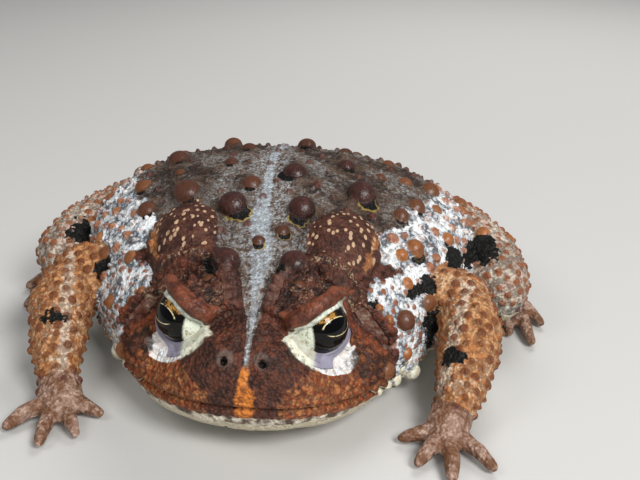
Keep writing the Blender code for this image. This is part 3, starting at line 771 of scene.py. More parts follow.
def markSkin(piece):
    points = pointsOf(piece)
    normals = normalsOf(piece)
    tree = treeOf(points)
    count = len(points)
    marks = regionsOf(points)
    marks["flank"] = markFlank(points, normals, marks)
    low = smoothStep(points[:, 2], 9.0, 6.0)
    marks["belly"] = smoothStep(normals[:, 2], -0.15, -0.6) * low * (1 - marks["hand"]) * (1 - marks["foot"])
    rows = np.array(markLook["stripe"])
    aside = np.abs(points[:, 0] - np.interp(points[:, 1], rows[:, 0], rows[:, 1]))
    width = np.interp(points[:, 1], rows[:, 0], rows[:, 2])
    upward = smoothStep(normals[:, 2], -0.1, 0.25)
    marks["stripe"] = smoothStep(aside / width, 1.7, 0.3) * upward
    rows = np.array(markLook["nape"])
    width = np.interp(points[:, 1], rows[:, 0], rows[:, 1])
    marks["nape"] = smoothStep(aside / width, 1.25, 0.80) * upward
    spots = [(place[0], place[2]) for place in warts]
    field, owner = domesAt(tree, count, spots, 1.25)
    marks["wart"] = field
    hues = np.array([place[3] for place in warts] + [0.0])
    marks["wartOrange"] = hues[owner]
    feet = []
    for point, normal, radius, hue, black, yellow, aside in warts:
        if black:
            drop = np.array((0.75 * aside, -0.80 + 0.3 * abs(aside), -0.15))
            feet.append((np.array(point) + drop * radius, radius * (0.35 + 0.5 * black)))
    marks["footblack"], _ = domesAt(tree, count, feet, 1.35)
    saddles = [(place[0], place[2] * 2.6) for place in warts if place[3] < 0.25 and place[2] > 1.9]
    marks["saddle"], _ = domesAt(tree, count, saddles)
    marks["bead"], _ = domesAt(tree, count, tubercles["visor"], 1.2)
    coloured = [spot for name in ("dorsal", "flank", "limb", "cheek", "mound") for spot in tubercles[name]]
    marks["tubercle"], _ = domesAt(tree, count, coloured, 1.2)
    marks["granule"], _ = domesAt(tree, count, tubercles["back"] + tubercles["snout"], 1.2)
    marks["patch"] = patchField(points)
    markHead(points, marks)
    marks["yellowRim"] = nearestOf(points, [(place[0], place[5]) for place in warts])
    armSide = hump(np.abs(points[:, 0]) - 0.25 * (points[:, 1] + 20.0), 34.2, 1.3)
    armSide *= smoothStep(points[:, 1], -9.0, -13.0)
    marks["armPale"] = marks["arm"] * armSide * smoothStep(points[:, 2], 3.0, 7.0)
    # How much painted shade the creases and pits get
    marks["hollowShade"] = hollows(piece, points, normals)
    storeMarks(piece, marks)


def nearestOf(points, values):  # the value that belongs to the nearest of some places
    best = np.full(len(points), 1e9)
    found = np.zeros(len(points))
    for place, value in values:
        gap = gapTo(points, place)
        nearer = gap < best
        best[nearer] = gap[nearer]
        found[nearer] = value
    return found


def hollows(piece, points, normals):  # 1 in creases and pits, 0 on open skin
    edges = np.empty(len(piece.data.edges) * 2, np.int32)
    piece.data.edges.foreach_get("vertices", edges)
    first, second = edges.reshape(-1, 2).T
    around = np.zeros(len(points))
    number = np.zeros(len(points))
    for here, there in ((first, second), (second, first)):
        step = points[there] - points[here]
        length = np.maximum(np.linalg.norm(step, axis=1), 1e-6)
        slope = np.einsum("ij,ij->i", step, normals[here]) / length
        np.add.at(around, here, slope)
        np.add.at(number, here, 1)
    bend = around / np.maximum(number, 1)
    for turn in range(3):
        total = np.zeros(len(points))
        np.add.at(total, first, bend[second])
        np.add.at(total, second, bend[first])
        bend = 0.5 * bend + 0.5 * total / np.maximum(number, 1)
    return np.clip(bend / 0.30, 0, 1)


def markFlank(points, normals, marks):
    radial = np.hypot(points[:, 0] / 39.5, (points[:, 1] - 8) / 41.0)
    wave = 0.05 * wobble(points, 5.0, 2.0) + 0.03 * wobble(points, 2.0, 6.0)
    start = np.interp(points[:, 1], [-12.0, 4.0, 20.0], [0.60, 0.66, 0.73])
    pale = smoothStep(radial + wave - start, 0.0, 0.12) * smoothStep(points[:, 2], 1.0, 3.0)
    behind = smoothStep(points[:, 1], 30.0, 18.0)
    return pale * (0.55 + 0.45 * behind) * (marks["torso"] + 0.3 * marks["thigh"])


def markHead(points, marks):
    names = ["underEye", "nostril", "nostrilRim", "crest", "ear", "ridge", "cheekPale", "cheekMound", "rust"]
    names += ["strip", "crust"]
    for name in names + ["lidUpper", "nearEye", "lidFront", "lidRear", "glandEdge", "glandTop"]:
        marks[name] = np.zeros(len(points))
    marks["lidEdge"] = np.full(len(points), 9.0)
    marks["lidShare"] = np.full(len(points), 9.0)
    for sign in sides.values():
        local = asLeftHead(points, sign)
        own = smoothStep(local[:, 0], -0.4, 0.4)
        flat, reach, edge, upper = aroundEye(local)
        ahead = smoothStep(flat[:, 0], -7.0, -8.0) * smoothStep(reach, 5.6, 6.4)  # snout in front of the lids
        edge = np.clip(np.maximum(edge, reach - 6.4) + 5.0 * ahead, -2, 9)
        mine = (reach < 9.0) & (local[:, 0] > 0)
        marks["lidEdge"] = np.where(mine, edge, marks["lidEdge"])
        pale = np.interp(flat[:, 0], eyeLook["widthsAt"], eyeLook["paleWidths"])
        lowest = np.interp(flat[:, 0], eyeLook["widthsAt"], eyeLook["lowerWidths"])
        width = lowest + (pale - lowest) * smoothStep(upper, 0.3, 0.6)
        marks["lidShare"] = np.where(mine, edge / width, marks["lidShare"])
        marks["lidUpper"] = np.where(mine, upper, marks["lidUpper"])
        white = np.interp(flat[:, 0], eyeLook["whiteAt"], eyeLook["whiteWidths"])
        white = smoothStep(edge - lowest - white, 0.2, -0.4)
        marks["underEye"] += mine * smoothStep(upper, 0.4, 0.1) * white
        nearEye = smoothStep(flat[:, 0], 6.6, 5.8) - ahead
        marks["nearEye"] += nearEye * (local[:, 0] > 0) * smoothStep(reach, 8.6, 7.4)
        marks["lidFront"] = np.where(mine, smoothStep(flat[:, 0], -3.0, -4.4), marks["lidFront"])
        marks["lidRear"] = np.where(mine, smoothStep(flat[:, 0], 3.4, 4.4), marks["lidRear"])
        outer = smoothStep(local[:, 0] - 0.20 * (local[:, 1] + 14.0), 17.4, 19.6) * own
        onGland = glandReach(points, sign)
        marks["glandEdge"] += outer * smoothStep(onGland, 1.3, 1.1)
        marks["glandTop"] += smoothStep(onGland, 1.34, 1.24) * smoothStep(local[:, 2], 19.5, 22.5)
        low = smoothStep(local[:, 2] - 0.3 * (local[:, 0] - 8), 15.6, 12.0)
        low *= smoothStep(local[:, 1], -26.0, -32.0)
        marks["rust"] += smoothStep(local[:, 0], 2.0, 9.0) * low
        anchor = nearestPoint(local, headLook["nostril"])
        gap = np.linalg.norm((local - anchor) * (1, 1, 0.6), axis=1)
        # The nostril opening, which the material paints black as the shade inside it
        marks["nostril"] += smoothStep(gap, 0.95, 0.60)
        marks["nostrilRim"] += hump(gap, 1.15, 0.25)
        gap, strength, beaded, place = crestPlaces(local)
        marks["crest"] += smoothStep(gap, 2.0, 0.8) * own * strength * (1 - beaded)
        crust = hump(gap, 1.6, 0.7) * beaded + hump(gap, 2.4, 0.5) * (1 - beaded)
        marks["crust"] += crust * own * strength
        gap, place = ridgePlaces(local)
        marks["ridge"] += smoothStep(gap, 1.5, 0.6) * own * smoothStep(place, 0.0, 2.0)
        strip = hump(gap, 3.0, 1.2) * smoothStep(local[:, 1], -24.0, -26.0)
        marks["strip"] += strip * own * (local[:, 2] > 12)
        gap = gapTo(local, headLook["ear"])
        marks["ear"] += smoothStep(gap, 3.0, 1.6)
        gap = gapTo(local, headLook["cheek"])
        marks["cheekMound"] += smoothStep(gap, 5.6, 3.0)
        ragged = 2.2 * wobble(points, 3.0, 9.0) + 1.2 * wobble(points, 1.2, 3.0)
        rear = smoothStep(local[:, 1] + ragged, -26.4, -23.6) * smoothStep(local[:, 2], 21.6, 19.6)
        rear = rear * smoothStep(local[:, 0], 17.0, 19.5) * smoothStep(local[:, 1], -9.0, -13.0)
        marks["cheekPale"] += rear * np.clip(marks["head"] + marks["torso"], 0, 1)
    level = mouthLevel(points)
    marks["below"] = smoothStep(level, -0.8, -2.4) * marks["head"]
    tip = hump(points[:, 0] - 1.6, 0, 0.5 + 0.24 * np.clip(17.2 - points[:, 2], 0, 5))
    marks["snoutTip"] = tip * smoothStep(points[:, 1], -40.0, -42.0) * smoothStep(points[:, 2], 17.6, 15.8)
    trunk = np.clip(marks["head"] + marks["torso"], 0, 1) * smoothStep(marks["arm"], 0.5, 0.1)
    lipHeight = smoothStep(level, 4.2, 2.0) * smoothStep(level, -5.0, -2.0)
    marks["lipEnd"] = lipHeight * hump(points[:, 1], -23.5, 3.0) * trunk


markSkin(skin)
print("markings:", len(skin.data.attributes), "attributes")


# Shader maths: a Wire wraps one socket, so that sums of masks can be written as they read


class Wire:
    def __init__(self, tree, socket=None):
        self.tree = tree
        self.socket = socket

    def make(self, kind, settings, values, output=0):  # any node: settings first, then its sockets
        node = self.tree.nodes.new("ShaderNode" + kind)
        for name, value in settings.items():
            setattr(node, name, value)
        for name, value in values.items():
            if isinstance(value, Wire):
                self.tree.links.new(value.socket, node.inputs[name])
            else:
                node.inputs[name].default_value = value
        return Wire(self.tree, node.outputs[output])

    def maths(self, operation, first, second):
        return self.make("Math", {"operation": operation}, {0: first, 1: second})

    def __add__(self, other):
        return self.maths("ADD", self, other)

    def __radd__(self, other):
        return self.maths("ADD", other, self)

    def __sub__(self, other):
        return self.maths("SUBTRACT", self, other)

    def __rsub__(self, other):
        return self.maths("SUBTRACT", other, self)

    def __mul__(self, other):
        return self.maths("MULTIPLY", self, other)

    def atMost(self, other):
        return self.maths("MINIMUM", self, other)

    def atLeast(self, other):
        return self.maths("MAXIMUM", self, other)

    def step(self, low, high):  # 0 below low, 1 above high, soft between
        values = {"Value": self, "From Min": low, "From Max": high}
        return self.make("MapRange", {"interpolation_type": "SMOOTHSTEP"}, values)

    def mix(self, below, above):  # this mask lays one colour over another; the skin's tones go by name
        below = skinTones.get(below, below)
        above = skinTones.get(above, above)
        return self.make("Mix", {"data_type": "RGBA"}, {0: self, 6: below, 7: above}, 2)


def tone(red, green, blue):  # a screen colour, 0 to 255, as Blender's linear one
    linear = []
    for value in (red, green, blue):
        share = value / 255
        linear.append(share / 12.92 if share <= 0.04045 else ((share + 0.055) / 1.055) ** 2.4)
    return (*linear, 1)


def newMaterial(name):
    material = bpy.data.materials.new(name)
    material.use_nodes = True
    material.node_tree.nodes.clear()
    return material, Wire(material.node_tree)


def readersOf(wire, place):  # of the piece's stored numbers, and of noise of a size

    def mark(name):
        return wire.make("Attribute", {"attribute_name": name}, {}, 2)

    def grain(size, detail=2.0, roughness=0.5):
        values = {"Vector": place, "Scale": 1 / (size * mm), "Detail": detail, "Roughness": roughness}
        return wire.make("TexNoise", {}, values)

    return mark, grain


def closeMaterial(wire, constants, links):
    node = wire.tree.nodes.new("ShaderNodeBsdfPrincipled")
    for name, value in constants.items():
        node.inputs[name].default_value = value
    for name, value in links.items():
        wire.tree.links.new(value.socket, node.inputs[name])
    output = wire.tree.nodes.new("ShaderNodeOutputMaterial")
    wire.tree.links.new(node.outputs[0], output.inputs["Surface"])


# The darkest speck tone also paints shade: in the gaps between granules, in creases and pits, and at the
# lids' edge against the eyes.
skinShades = {
    "backDark": (48, 36, 29), "back": (84, 66, 53), "backGrey": (106, 100, 93),
    "napeGrey": (128, 124, 120), "silver": (166, 172, 178), "stripe": (178, 190, 198),
    "flank": (224, 226, 226), "flankBlue": (178, 186, 194), "maroonDark": (36, 22, 19),
    "maroon": (64, 36, 31), "maroonTop": (86, 49, 41), "orange": (142, 80, 38),
    "orangeTop": (176, 116, 68), "orangeDark": (78, 40, 24), "black": (13, 13, 11),
    "yellow": (150, 126, 62), "gland": (96, 58, 44), "glandDark": (58, 33, 26),
    "glandSpot": (196, 164, 132), "snout": (98, 54, 38), "snoutDark": (44, 25, 20),
    "snoutGrey": (126, 102, 92), "snoutTip": (204, 120, 44), "rust": (140, 68, 34),
    "tan": (190, 144, 100), "limb": (166, 108, 62), "limbDark": (92, 56, 34), "limbPale": (206, 196, 178),
    "paw": (112, 78, 56), "shank": (134, 130, 120), "pinkish": (176, 148, 132), "cream": (218, 222, 204),
    "creamDark": (150, 138, 104), "creamGrey": (176, 182, 172), "lavender": (140, 136, 152),
    "crest": (58, 35, 29), "crestPale": (98, 66, 55), "rollDark": (72, 38, 28), "roll": (116, 64, 43),
    "bead": (104, 54, 40), "crust": (158, 140, 114), "belly": (196, 186, 160), "darkSpeckAndShade": (34, 28, 24),
}
skinTones = {name: tone(*shade) for name, shade in skinShades.items()}


def skinMaterial():
    material, wire = newMaterial("toadSkinFinish")
    place = wire.make("TexCoord", {}, {}, 3)
    mark, grain = readersOf(wire, place)

    def granules(size):
        return wire.make("TexVoronoi", {}, {"Vector": place, "Scale": 1 / (size * mm)})

    def worn(name, rough, low, high):  # a marking with a ragged edge
        return (mark(name) + ragged * rough).step(low, high)

    def between(noise, low, high, below, above):  # two tones, as the noise has it
        return noise.step(low, high).mix(below, above)

    def lay(mask, shade):  # over the colour so far
        nonlocal colour
        colour = mask.mix(colour, shade)

    broad = grain(9.0, 3.0)
    medium = grain(2.6, 3.0)
    fine = grain(0.9, 3.0, 0.6)
    finest = grain(0.38, 2.0, 0.6)
    cells = granules(1.10)
    pebbles = granules(0.58)
    mixed = medium * 0.5 + fine * 0.5
    gritty = fine * 0.6 + medium * 0.4
    ragged = (medium - 0.5) * 0.9 + (fine - 0.5) * 0.7  # breaks up the edges of the markings
    # Below, the gaps between the granules get darker tones in several places: painted shade in these small
    # recesses.
    tops = (pebbles * 0.8 + (fine - 0.5) * 0.5).step(0.42, 0.20)  # the granules' tops
    gaps = (cells * 0.6 + pebbles * 0.5 + (fine - 0.5) * 0.5).step(0.44, 0.66)  # and the gaps between them

    # Back: brown clouds, greyer towards the middle, with silver tops on the granules
    colour = between(medium * 0.5 + broad * 0.5, 0.42, 0.58, "backDark", "back")
    lay((broad * 0.5 + fine * 0.5).step(0.47, 0.57) * 0.85, "backGrey")
    nape = worn("nape", 0.6, 0.30, 0.70)
    lay(nape * 0.75, between(fine, 0.36, 0.60, "back", "napeGrey"))
    salt = (finest * 0.6 + fine * 0.4).step(0.50, 0.62)
    lay(salt * (0.10 + broad.step(0.45, 0.60) * 0.50 + nape * 0.40), "silver")
    saddle = worn("saddle", 0.7, 0.10, 0.55) * (1 - nape * 0.7)
    lay(saddle * 0.75, between(medium, 0.40, 0.62, "backDark", "back"))
    pepper = (finest * 0.6 + medium * 0.4).step(0.46, 0.38)
    lay(pepper * 0.5, "backDark")

    # Flanks: white to bluish granules
    flank = worn("flank", 0.9, 0.40, 0.60)
    pale = between(medium, 0.42, 0.62, "flank", "flankBlue")
    pale = fine.step(0.30, 0.44).mix("backGrey", pale)
    # Dark specks in the gaps between granules, partly painted shade in these recesses
    pale = (gaps * medium.step(0.40, 0.56) * 0.8).mix(pale, "darkSpeckAndShade")
    lay(flank, pale)

    # Limbs, darker in the gaps between granules as painted shade
    arm = mark("arm").step(0.35, 0.65)
    armTone = between(gritty, 0.42, 0.58, "limb", "tan")
    armTone = (broad.step(0.44, 0.60) * salt * 0.9).mix(armTone, "limbPale")
    armLight = worn("armPale", 1.5, 0.38, 0.66) * (0.55 + salt * 0.45)
    armTone = armLight.mix(armTone, "limbPale")
    lay(arm, (gaps * 0.6).mix(armTone, "limbDark"))
    thigh = mark("thigh").step(0.35, 0.65)
    thighTone = between(mixed, 0.42, 0.60, "pinkish", "limbPale")
    thighTone = (broad.step(0.50, 0.60) * 0.35).mix(thighTone, "back")
    lay(thigh * (1 - flank * 0.6), (gaps * 0.6).mix(thighTone, "backDark"))
    shank = mark("shank").step(0.35, 0.65)
    shankTone = between(mixed, 0.42, 0.58, "shank", "limbPale")
    shankTone = (broad.step(0.52, 0.62) * 0.6).mix(shankTone, "back")
    lay(shank, (gaps * 0.6).mix(shankTone, "backDark"))
    paws = (mark("hand") + mark("foot")).step(0.35, 0.65)
    pawTone = between(mixed, 0.42, 0.60, "paw", "pinkish")
    lay(paws, (gaps * 0.5).mix(pawTone, "limbDark"))

    # Head: rusty snout, greyer on top, red-brown cheeks; darker tones in the gaps between granules are
    # painted shade
    head = mark("head").step(0.30, 0.70)
    snout = between(mixed, 0.40, 0.62, "snoutDark", "snout")
    snout = (tops * (0.06 + broad.step(0.45, 0.60) * 0.16)).mix(snout, "rust")
    snout = (gaps * 0.35).mix(snout, "darkSpeckAndShade")
    lay(head * (1 - nape), snout)
    rusty = worn("rust", 0.9, 0.30, 0.85)
    rustTone = (gaps * 0.6).mix(between(fine, 0.42, 0.6, "rust", "orangeTop"), "snoutDark")
    lay(rusty * head * 0.85, rustTone)
    tip = worn("snoutTip", 1.0, 0.35, 0.75)
    lay(tip * 0.9, between(fine, 0.36, 0.54, "orange", "snoutTip"))
    jaw = worn("below", 1.0, 0.40, 0.60)
    lay(jaw, between(medium, 0.42, 0.60, "limbPale", "back"))
    side = worn("cheekPale", 0.9, 0.42, 0.58).atLeast(worn("lipEnd", 1.0, 0.45, 0.6))
    lay(side, pale)
    under = worn("underEye", 0.8, 0.30, 0.62)
    lay(under, (gaps * 0.3).mix("flank", "tan"))
    mound = worn("cheekMound", 1.2, 0.45, 0.80)
    lay(mound * 0.9, between(medium, 0.42, 0.60, "darkSpeckAndShade", "maroon"))
    ear = worn("ear", 0.6, 0.35, 0.65)
    lay(ear * 0.6, "backGrey")
    ridge = worn("ridge", 0.5, 0.35, 0.65)
    strip = worn("strip", 0.5, 0.30, 0.70)
    lay(strip * 0.7, between(fine, 0.4, 0.6, "snout", "rust"))
    lay(ridge * 0.9, between(mixed, 0.4, 0.6, "snout", "snoutGrey"))

    # Stripe down the middle, broken into granules
    stripe = worn("stripe", 0.8, 0.30, 0.66)
    stripe = stripe * (1 - head * (0.45 - nape * 0.15))
    lay(stripe * (0.40 + salt * 0.5) * (1 - tip), "stripe")

    # Glands: red-brown, with cream dots and streaks at their outer edge; darker gaps between granules are
    # painted shade
    gland = (mark("gland") + (fine - 0.5) * 0.3).step(0.40, 0.60)
    glandTone = between(mixed, 0.40, 0.62, "glandDark", "gland")
    streaks = worn("glandEdge", 1.4, 0.55, 0.95)
    glandTone = (streaks * 0.8).mix(glandTone, "orangeTop")
    glandTone = (gaps * 0.35).mix(glandTone, "maroonDark")
    lay(gland, glandTone)
    stretched = wire.make("VectorMath", {"operation": "MULTIPLY"}, {0: place, 1: (1.0, 0.60, 0.45)})
    seeds = wire.make("TexVoronoi", {}, {"Vector": stretched, "Scale": 1 / (1.05 * mm)})
    dots = (seeds + (fine - 0.5) * 0.16).step(0.35, 0.26) * worn("glandTop", 0.9, 0.2, 0.5)
    lay(dots * gland * 0.8, "glandSpot")

    # Crests and lids
    crest = (mark("crest") + (fine - 0.5) * 0.5).step(0.35, 0.70)
    crestTone = between(mixed, 0.42, 0.62, "crest", "crestPale")
    lay(crest * 0.9, crestTone)
    crust = worn("crust", 0.8, 0.45, 0.85)
    lay(crust * salt * 0.8, "crust")
    near = mark("nearEye").step(0.3, 0.7)
    edge = mark("lidEdge") + (fine - 0.5) * 0.3
    upper = mark("lidUpper").step(0.25, 0.55) * near
    lower = mark("lidUpper").step(0.45, 0.20) * near
    visor = upper * edge.step(8.0, 6.5) * edge.step(3.1, 3.7)
    visorTone = between(gritty, 0.44, 0.60, "snoutDark", "snout")
    visorTone = (salt * medium.step(0.40, 0.56) * 0.75).mix(visorTone, "crust")
    # Painted shade in the gaps between granules
    visorTone = (gaps * 0.5).mix(visorTone, "darkSpeckAndShade")
    lay(visor, visorTone)
    bead = (mark("bead") + (finest - 0.5) * 0.3).step(0.25, 0.50)
    lay(bead * 0.85, between(gritty, 0.40, 0.60, "crest", "bead"))
    roll = upper * edge.step(eyeLook["rollEnd"] + 0.2, eyeLook["rollEnd"] - 0.3)
    lay(roll, between(medium * 0.6 + fine * 0.4, 0.40, 0.60, "rollDark", "roll"))
    paleBand = upper * mark("lidShare").step(1.12, 0.85)
    lay(paleBand, between(fine, 0.38, 0.58, "creamGrey", "cream"))
    lowerLid = lower * worn("lidShare", 0.2, 1.10, 0.90)
    creamTone = between(finest * 0.5 + fine * 0.5, 0.46, 0.34, "cream", "creamDark")
    lowTone = worn("lidFront", 0.5, 0.2, 0.8).mix("lavender", creamTone)
    rearTone = between(fine, 0.40, 0.60, "snoutDark", "snout")
    lowTone = worn("lidRear", 0.8, 0.2, 0.8).mix(lowTone, rearTone)
    lay(lowerLid, lowTone)
    front = mark("lidFront") * near * (edge + ragged).step(2.0, 1.2) * (1 - roll)
    # Tan in the gaps between granules is painted shade
    lay(front, (gaps * 0.25).mix(creamTone, "tan"))
    # Painted shade where the lids meet the eye
    lay(near * edge.step(0.10, -0.10) * 0.35, "darkSpeckAndShade")

    # Small tubercles: orange-brown with dark tips
    granule = mark("granule").step(0.15, 0.60)
    lay(granule * (1 - stripe) * 0.40, between(fine, 0.4, 0.6, "maroon", "back"))
    patch = (mark("patch") + (broad - 0.5) * 0.8 + ragged * 1.2).step(0.44, 0.50)
    bump = (mark("tubercle") + (finest - 0.5) * 0.35).step(0.20, 0.42)
    bump = bump * (1 - gland) * (1 - patch) * (1 - under * 0.8)
    small = flank.atLeast(arm).atLeast(side).atLeast(mound).atLeast(thigh * 0.9)
    small = small.mix("maroonTop", "orange")
    small = (fine.step(0.4, 0.65) * 0.45).mix(small, flank.mix("snout", "orangeTop"))
    small = (arm * 0.6).mix(small, "orangeDark")
    small = ((mark("tubercle") + finest * 0.3).step(0.56, 0.82) * 0.85).mix(small, "orangeDark")
    lay(bump * 0.9, small)
    lipEnd = worn("lipEnd", 0.5, 0.45, 0.65)
    lay(lipEnd * bump * 0.85, "belly")

    # Black patches, then the warts' black feet with part of a yellow rim
    lay(patch * (1 - gland * 0.5), "black")
    outline = worn("footblack", 0.9, 0.16, 0.24)
    outline = outline * mark("footblack").step(0.02, 0.10)
    lay(outline * mark("yellowRim").step(0.2, 0.6) * 0.8, "yellow")
    foot = worn("footblack", 0.5, 0.28, 0.36)
    lay(foot, "black")

    # Main warts, from maroon on the back to orange on the flanks
    wart = (mark("wart") + (finest - 0.5) * 0.10).step(0.20, 0.28)
    hue = mark("wartOrange")
    wartTone = hue.mix("maroon", "orange")
    wartTone = (mark("wart").step(0.55, 0.25) * 0.8).mix(wartTone, hue.mix("maroonDark", "orangeTop"))
    mottle = gritty.step(0.42, 0.62) * 0.45
    wartTone = mottle.mix(wartTone, hue.mix("maroonTop", "orangeDark"))
    tipMark = (mark("wart") + (fine - 0.5) * 0.6).step(0.66, 0.84)
    wartTone = (hue * tipMark * 0.85).mix(wartTone, "orangeDark")
    wartTone = hue.step(1.3, 1.6).mix(wartTone, between(fine, 0.40, 0.60, "belly", "cream"))
    lay(wart, wartTone)

    # Nostrils, black inside as painted shade, and belly
    lay(mark("nostrilRim") * 0.55, "backGrey")
    lay(mark("nostril").step(0.3, 0.7), "black")
    belly = worn("belly", 0.5, 0.4, 0.6)
    bellyTone = between(medium, 0.60, 0.68, "belly", "darkSpeckAndShade")
    lay(belly, bellyTone)
    lids = (paleBand + lowerLid + roll + front).atMost(1.0)
    # Painted shade in creases and pits, kept mostly off the lids
    lay(mark("hollowShade").step(0.15, 0.9) * (1 - lids * 0.85) * 0.6, "darkSpeckAndShade")

    height = (1 - pebbles.atMost(0.8)) * 0.7 + (1 - cells.atMost(0.9)) * 0.6 + finest * 0.3 + fine * 0.5
    height = height * (1 - lids * 0.80 + roll * 0.35)
    height = height * (1 - wart * 0.7) * (1 - crest * 0.6) * (1 - ridge * 0.6)
    normal = wire.make("Bump", {}, {"Strength": 1.0, "Distance": 0.45 * mm, "Height": height})
    rough = 0.50 + fine * 0.20 - wart * 0.20 - lids * 0.14 - crest * 0.08
    wet = wart * 0.20 + lids * 0.08
    constants = {"Specular IOR Level": 0.32, "Coat Roughness": 0.25}
    links = {"Base Color": colour, "Roughness": rough, "Coat Weight": wet, "Normal": normal}
    closeMaterial(wire, constants, links)
    return material


skin.data.materials.clear()
skin.data.materials.append(skinMaterial())
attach(skin, "root")
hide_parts(*trunkNodes, *limbNodes)
print("skin material done")

# Eyes: a ball with a raised cornea; its pattern turns with the pupil's direction


def eyeball(side, sign):
    gaze = eyeDirection(*eyeLook["pupilAt"])
    bpy.ops.object.select_all(action="DESELECT")
    counts = {"segments": eyeLook["segments"], "ring_count": eyeLook["rings"]}
    bpy.ops.mesh.primitive_uv_sphere_add(radius=eyeLook["radius"] * mm, **counts)
    ball = bpy.context.object
    ball.name = "eyeball_" + side
    points = pointsOf(ball)
    wall = np.linalg.norm(points, axis=1)
    facing = points @ gaze / wall
    points *= (1 + eyeLook["bulge"] / wall * smoothStep(facing, 0.55, 0.97))[:, None]
    movePoints(ball, fromLeftHead(points + np.array(eyeLook["centre"]), sign))
    bpy.ops.object.mode_set(mode="EDIT")
    bpy.ops.mesh.select_all(action="SELECT")
    bpy.ops.mesh.normals_make_consistent(inside=False)
    bpy.ops.object.mode_set(mode="OBJECT")
    bpy.ops.object.shade_smooth()
    flat, _, offset = eyeMap(asLeftHead(pointsOf(ball), sign))
    across = np.cross((0, 0, 1), gaze)
    across = across / np.linalg.norm(across)
    marks = {"pupilAcross": offset @ across, "pupilUp": offset @ np.cross(gaze, across)}
    marks["pupilOut"] = offset @ gaze
    marks["fromFront"] = flat[:, 0] / eyeLook["radius"]
    storeMarks(ball, marks)
    return ball


def eyeMaterial():
    material, wire = newMaterial("toadEyeFinish")
    mark, grain = readersOf(wire, wire.make("TexCoord", {}, {}, 3))
    wide = math.sin(math.radians(eyeLook["pupilSize"][0])) * eyeLook["radius"]
    tall = math.sin(math.radians(eyeLook["pupilSize"][1])) * eyeLook["radius"]
    across = mark("pupilAcross") * (1 / wide)
    up = mark("pupilUp") * (1 / tall)
    fromPupil = across * across + up * up
    behind = mark("pupilOut").step(0.6, 0.0)
    size = fromPupil + behind * 40.0
    fine = grain(0.22, 3.0)
    coarse = grain(0.7, 2.0)
    upperPart = mark("pupilUp").step(0.9, 1.3)
    frontPart = mark("pupilAcross").step(1.2, -0.2) * mark("pupilAcross").step(-3.4, -2.6)
    gold = (fine * 0.6 + coarse * 0.4 + upperPart * frontPart * 0.22).step(0.66, 0.74)
    colour = gold.mix(tone(10, 9, 8), tone(170, 124, 60))
    colour = (upperPart * frontPart * 0.20).mix(colour, tone(110, 78, 40))
    ring = size.step(1.0, 1.05) * size.step(1.30, 1.18)
    lowArc = ring * mark("pupilUp").step(0.1, -0.4) * mark("pupilAcross").step(-2.3, -1.4)
    topArc = ring * mark("pupilUp").step(0.1, 0.5) * mark("pupilAcross").step(1.9, 0.8)
    colour = (lowArc.atLeast(topArc) * coarse.step(0.30, 0.46)).mix(colour, tone(206, 194, 150))
    colour = size.step(1.08, 1.0).mix(colour, tone(4, 4, 5))
    corner = (mark("fromFront") + (coarse - 0.5) * 0.10).step(-0.78, -0.88)
    creamTone = (coarse * 0.5 + fine * 0.5).step(0.50, 0.38).mix(tone(212, 218, 200), tone(150, 138, 104))
    colour = corner.mix(colour, creamTone)
    rough = 0.06 + corner * 0.25
    constants = {"Specular IOR Level": 0.16, "Coat Weight": 0.15, "Coat Roughness": 0.02}
    closeMaterial(wire, constants, {"Base Color": colour, "Roughness": rough})
    return material


eyeFinish = eyeMaterial()
for side, sign in sides.items():
    ball = eyeball(side, sign)
    ball.data.materials.append(eyeFinish)
    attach(ball, "root")
    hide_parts("eye_" + side)
print("eyes done")

# Floor, lights and camera

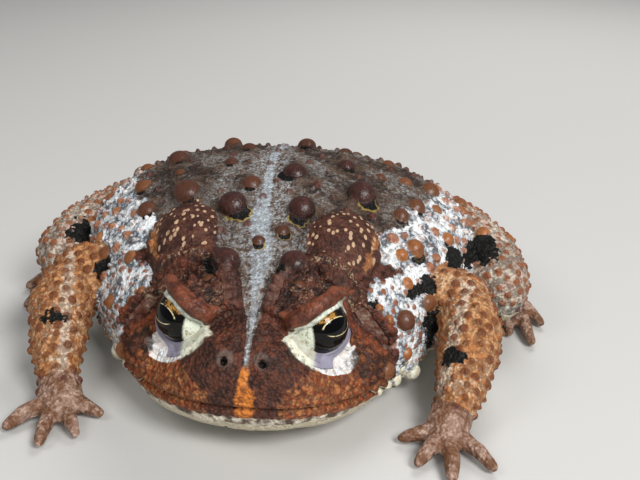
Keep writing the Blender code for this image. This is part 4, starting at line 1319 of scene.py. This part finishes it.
stageLook = {
    "floor": (0.50, 0.49, 0.47, 1),
    "sky": (0.92, 0.95, 1.0, 1),
    "skyStrength": 0.18,
    "lights": [  # place, size and power
        ((0.24, -0.27, 0.34), 0.18, 2.2),
        ((-0.30, -0.16, 0.40), 0.22, 0.6),
        ((0.02, -0.44, 0.20), 0.26, 0.6),
        ((0.12, 0.34, 0.38), 0.25, 1.6),
    ],
}
cameraLook = {
    "azimuth": 5.0,
    "elevation": 24.3,
    "roll": 1.7,
    "distance": 188.0,
    "target": (7.2, 14.8, 12.0),
    "frame": 640,  # width in pixels
    "focal": 900.0,  # in pixels too
    "sensor": 36,
}


def makeFloor():
    bpy.ops.object.select_all(action="DESELECT")
    bpy.ops.mesh.primitive_plane_add(size=4.0)
    floor = bpy.context.object
    floor.name = "floor"
    material, wire = newMaterial("floorFinish")
    closeMaterial(wire, {"Base Color": stageLook["floor"], "Roughness": 0.85}, {})
    floor.data.materials.append(material)


def makeLights():
    for number, (place, size, power) in enumerate(stageLook["lights"]):
        light = bpy.data.lights.new("softLight" + str(number), "AREA")
        light.size = size
        light.energy = power
        lamp = bpy.data.objects.new("softLight" + str(number), light)
        bpy.context.scene.collection.objects.link(lamp)
        lamp.location = place
        lamp.visible_glossy = number == 0  # only the main light shows in the wet skin and the eyes
        lamp.rotation_euler = (-Vector(place)).to_track_quat("-Z", "Y").to_euler()
    world = bpy.data.worlds.new("studio")
    world.use_nodes = True
    backdrop = world.node_tree.nodes["Background"]
    backdrop.inputs["Color"].default_value = stageLook["sky"]
    backdrop.inputs["Strength"].default_value = stageLook["skyStrength"]
    bpy.context.scene.world = world
    bpy.context.scene.view_settings.view_transform = "Standard"


def makeCamera():
    look = cameraLook
    turn = math.radians(look["azimuth"])
    height = math.radians(look["elevation"])
    lean = math.radians(look["roll"])
    back = Vector((math.sin(turn) * math.cos(height), -math.cos(turn) * math.cos(height), math.sin(height)))
    right = Vector((math.cos(turn), math.sin(turn), 0))
    up = back.cross(right)
    leanRight = math.cos(lean) * right + math.sin(lean) * up
    leanUp = math.cos(lean) * up - math.sin(lean) * right
    data = bpy.data.cameras.new("camera")
    data.sensor_width = look["sensor"]
    data.lens = look["focal"] * look["sensor"] / look["frame"]
    data.clip_start = 0.001
    camera = bpy.data.objects.new("camera", data)
    bpy.context.scene.collection.objects.link(camera)
    place = (Vector(look["target"]) + back * look["distance"]) * mm
    axes = Matrix((leanRight, leanUp, back)).transposed().to_4x4()
    camera.matrix_world = Matrix.Translation(place) @ axes
    bpy.context.scene.camera = camera


makeFloor()
makeLights()
makeCamera()
bpy.context.view_layer.update()
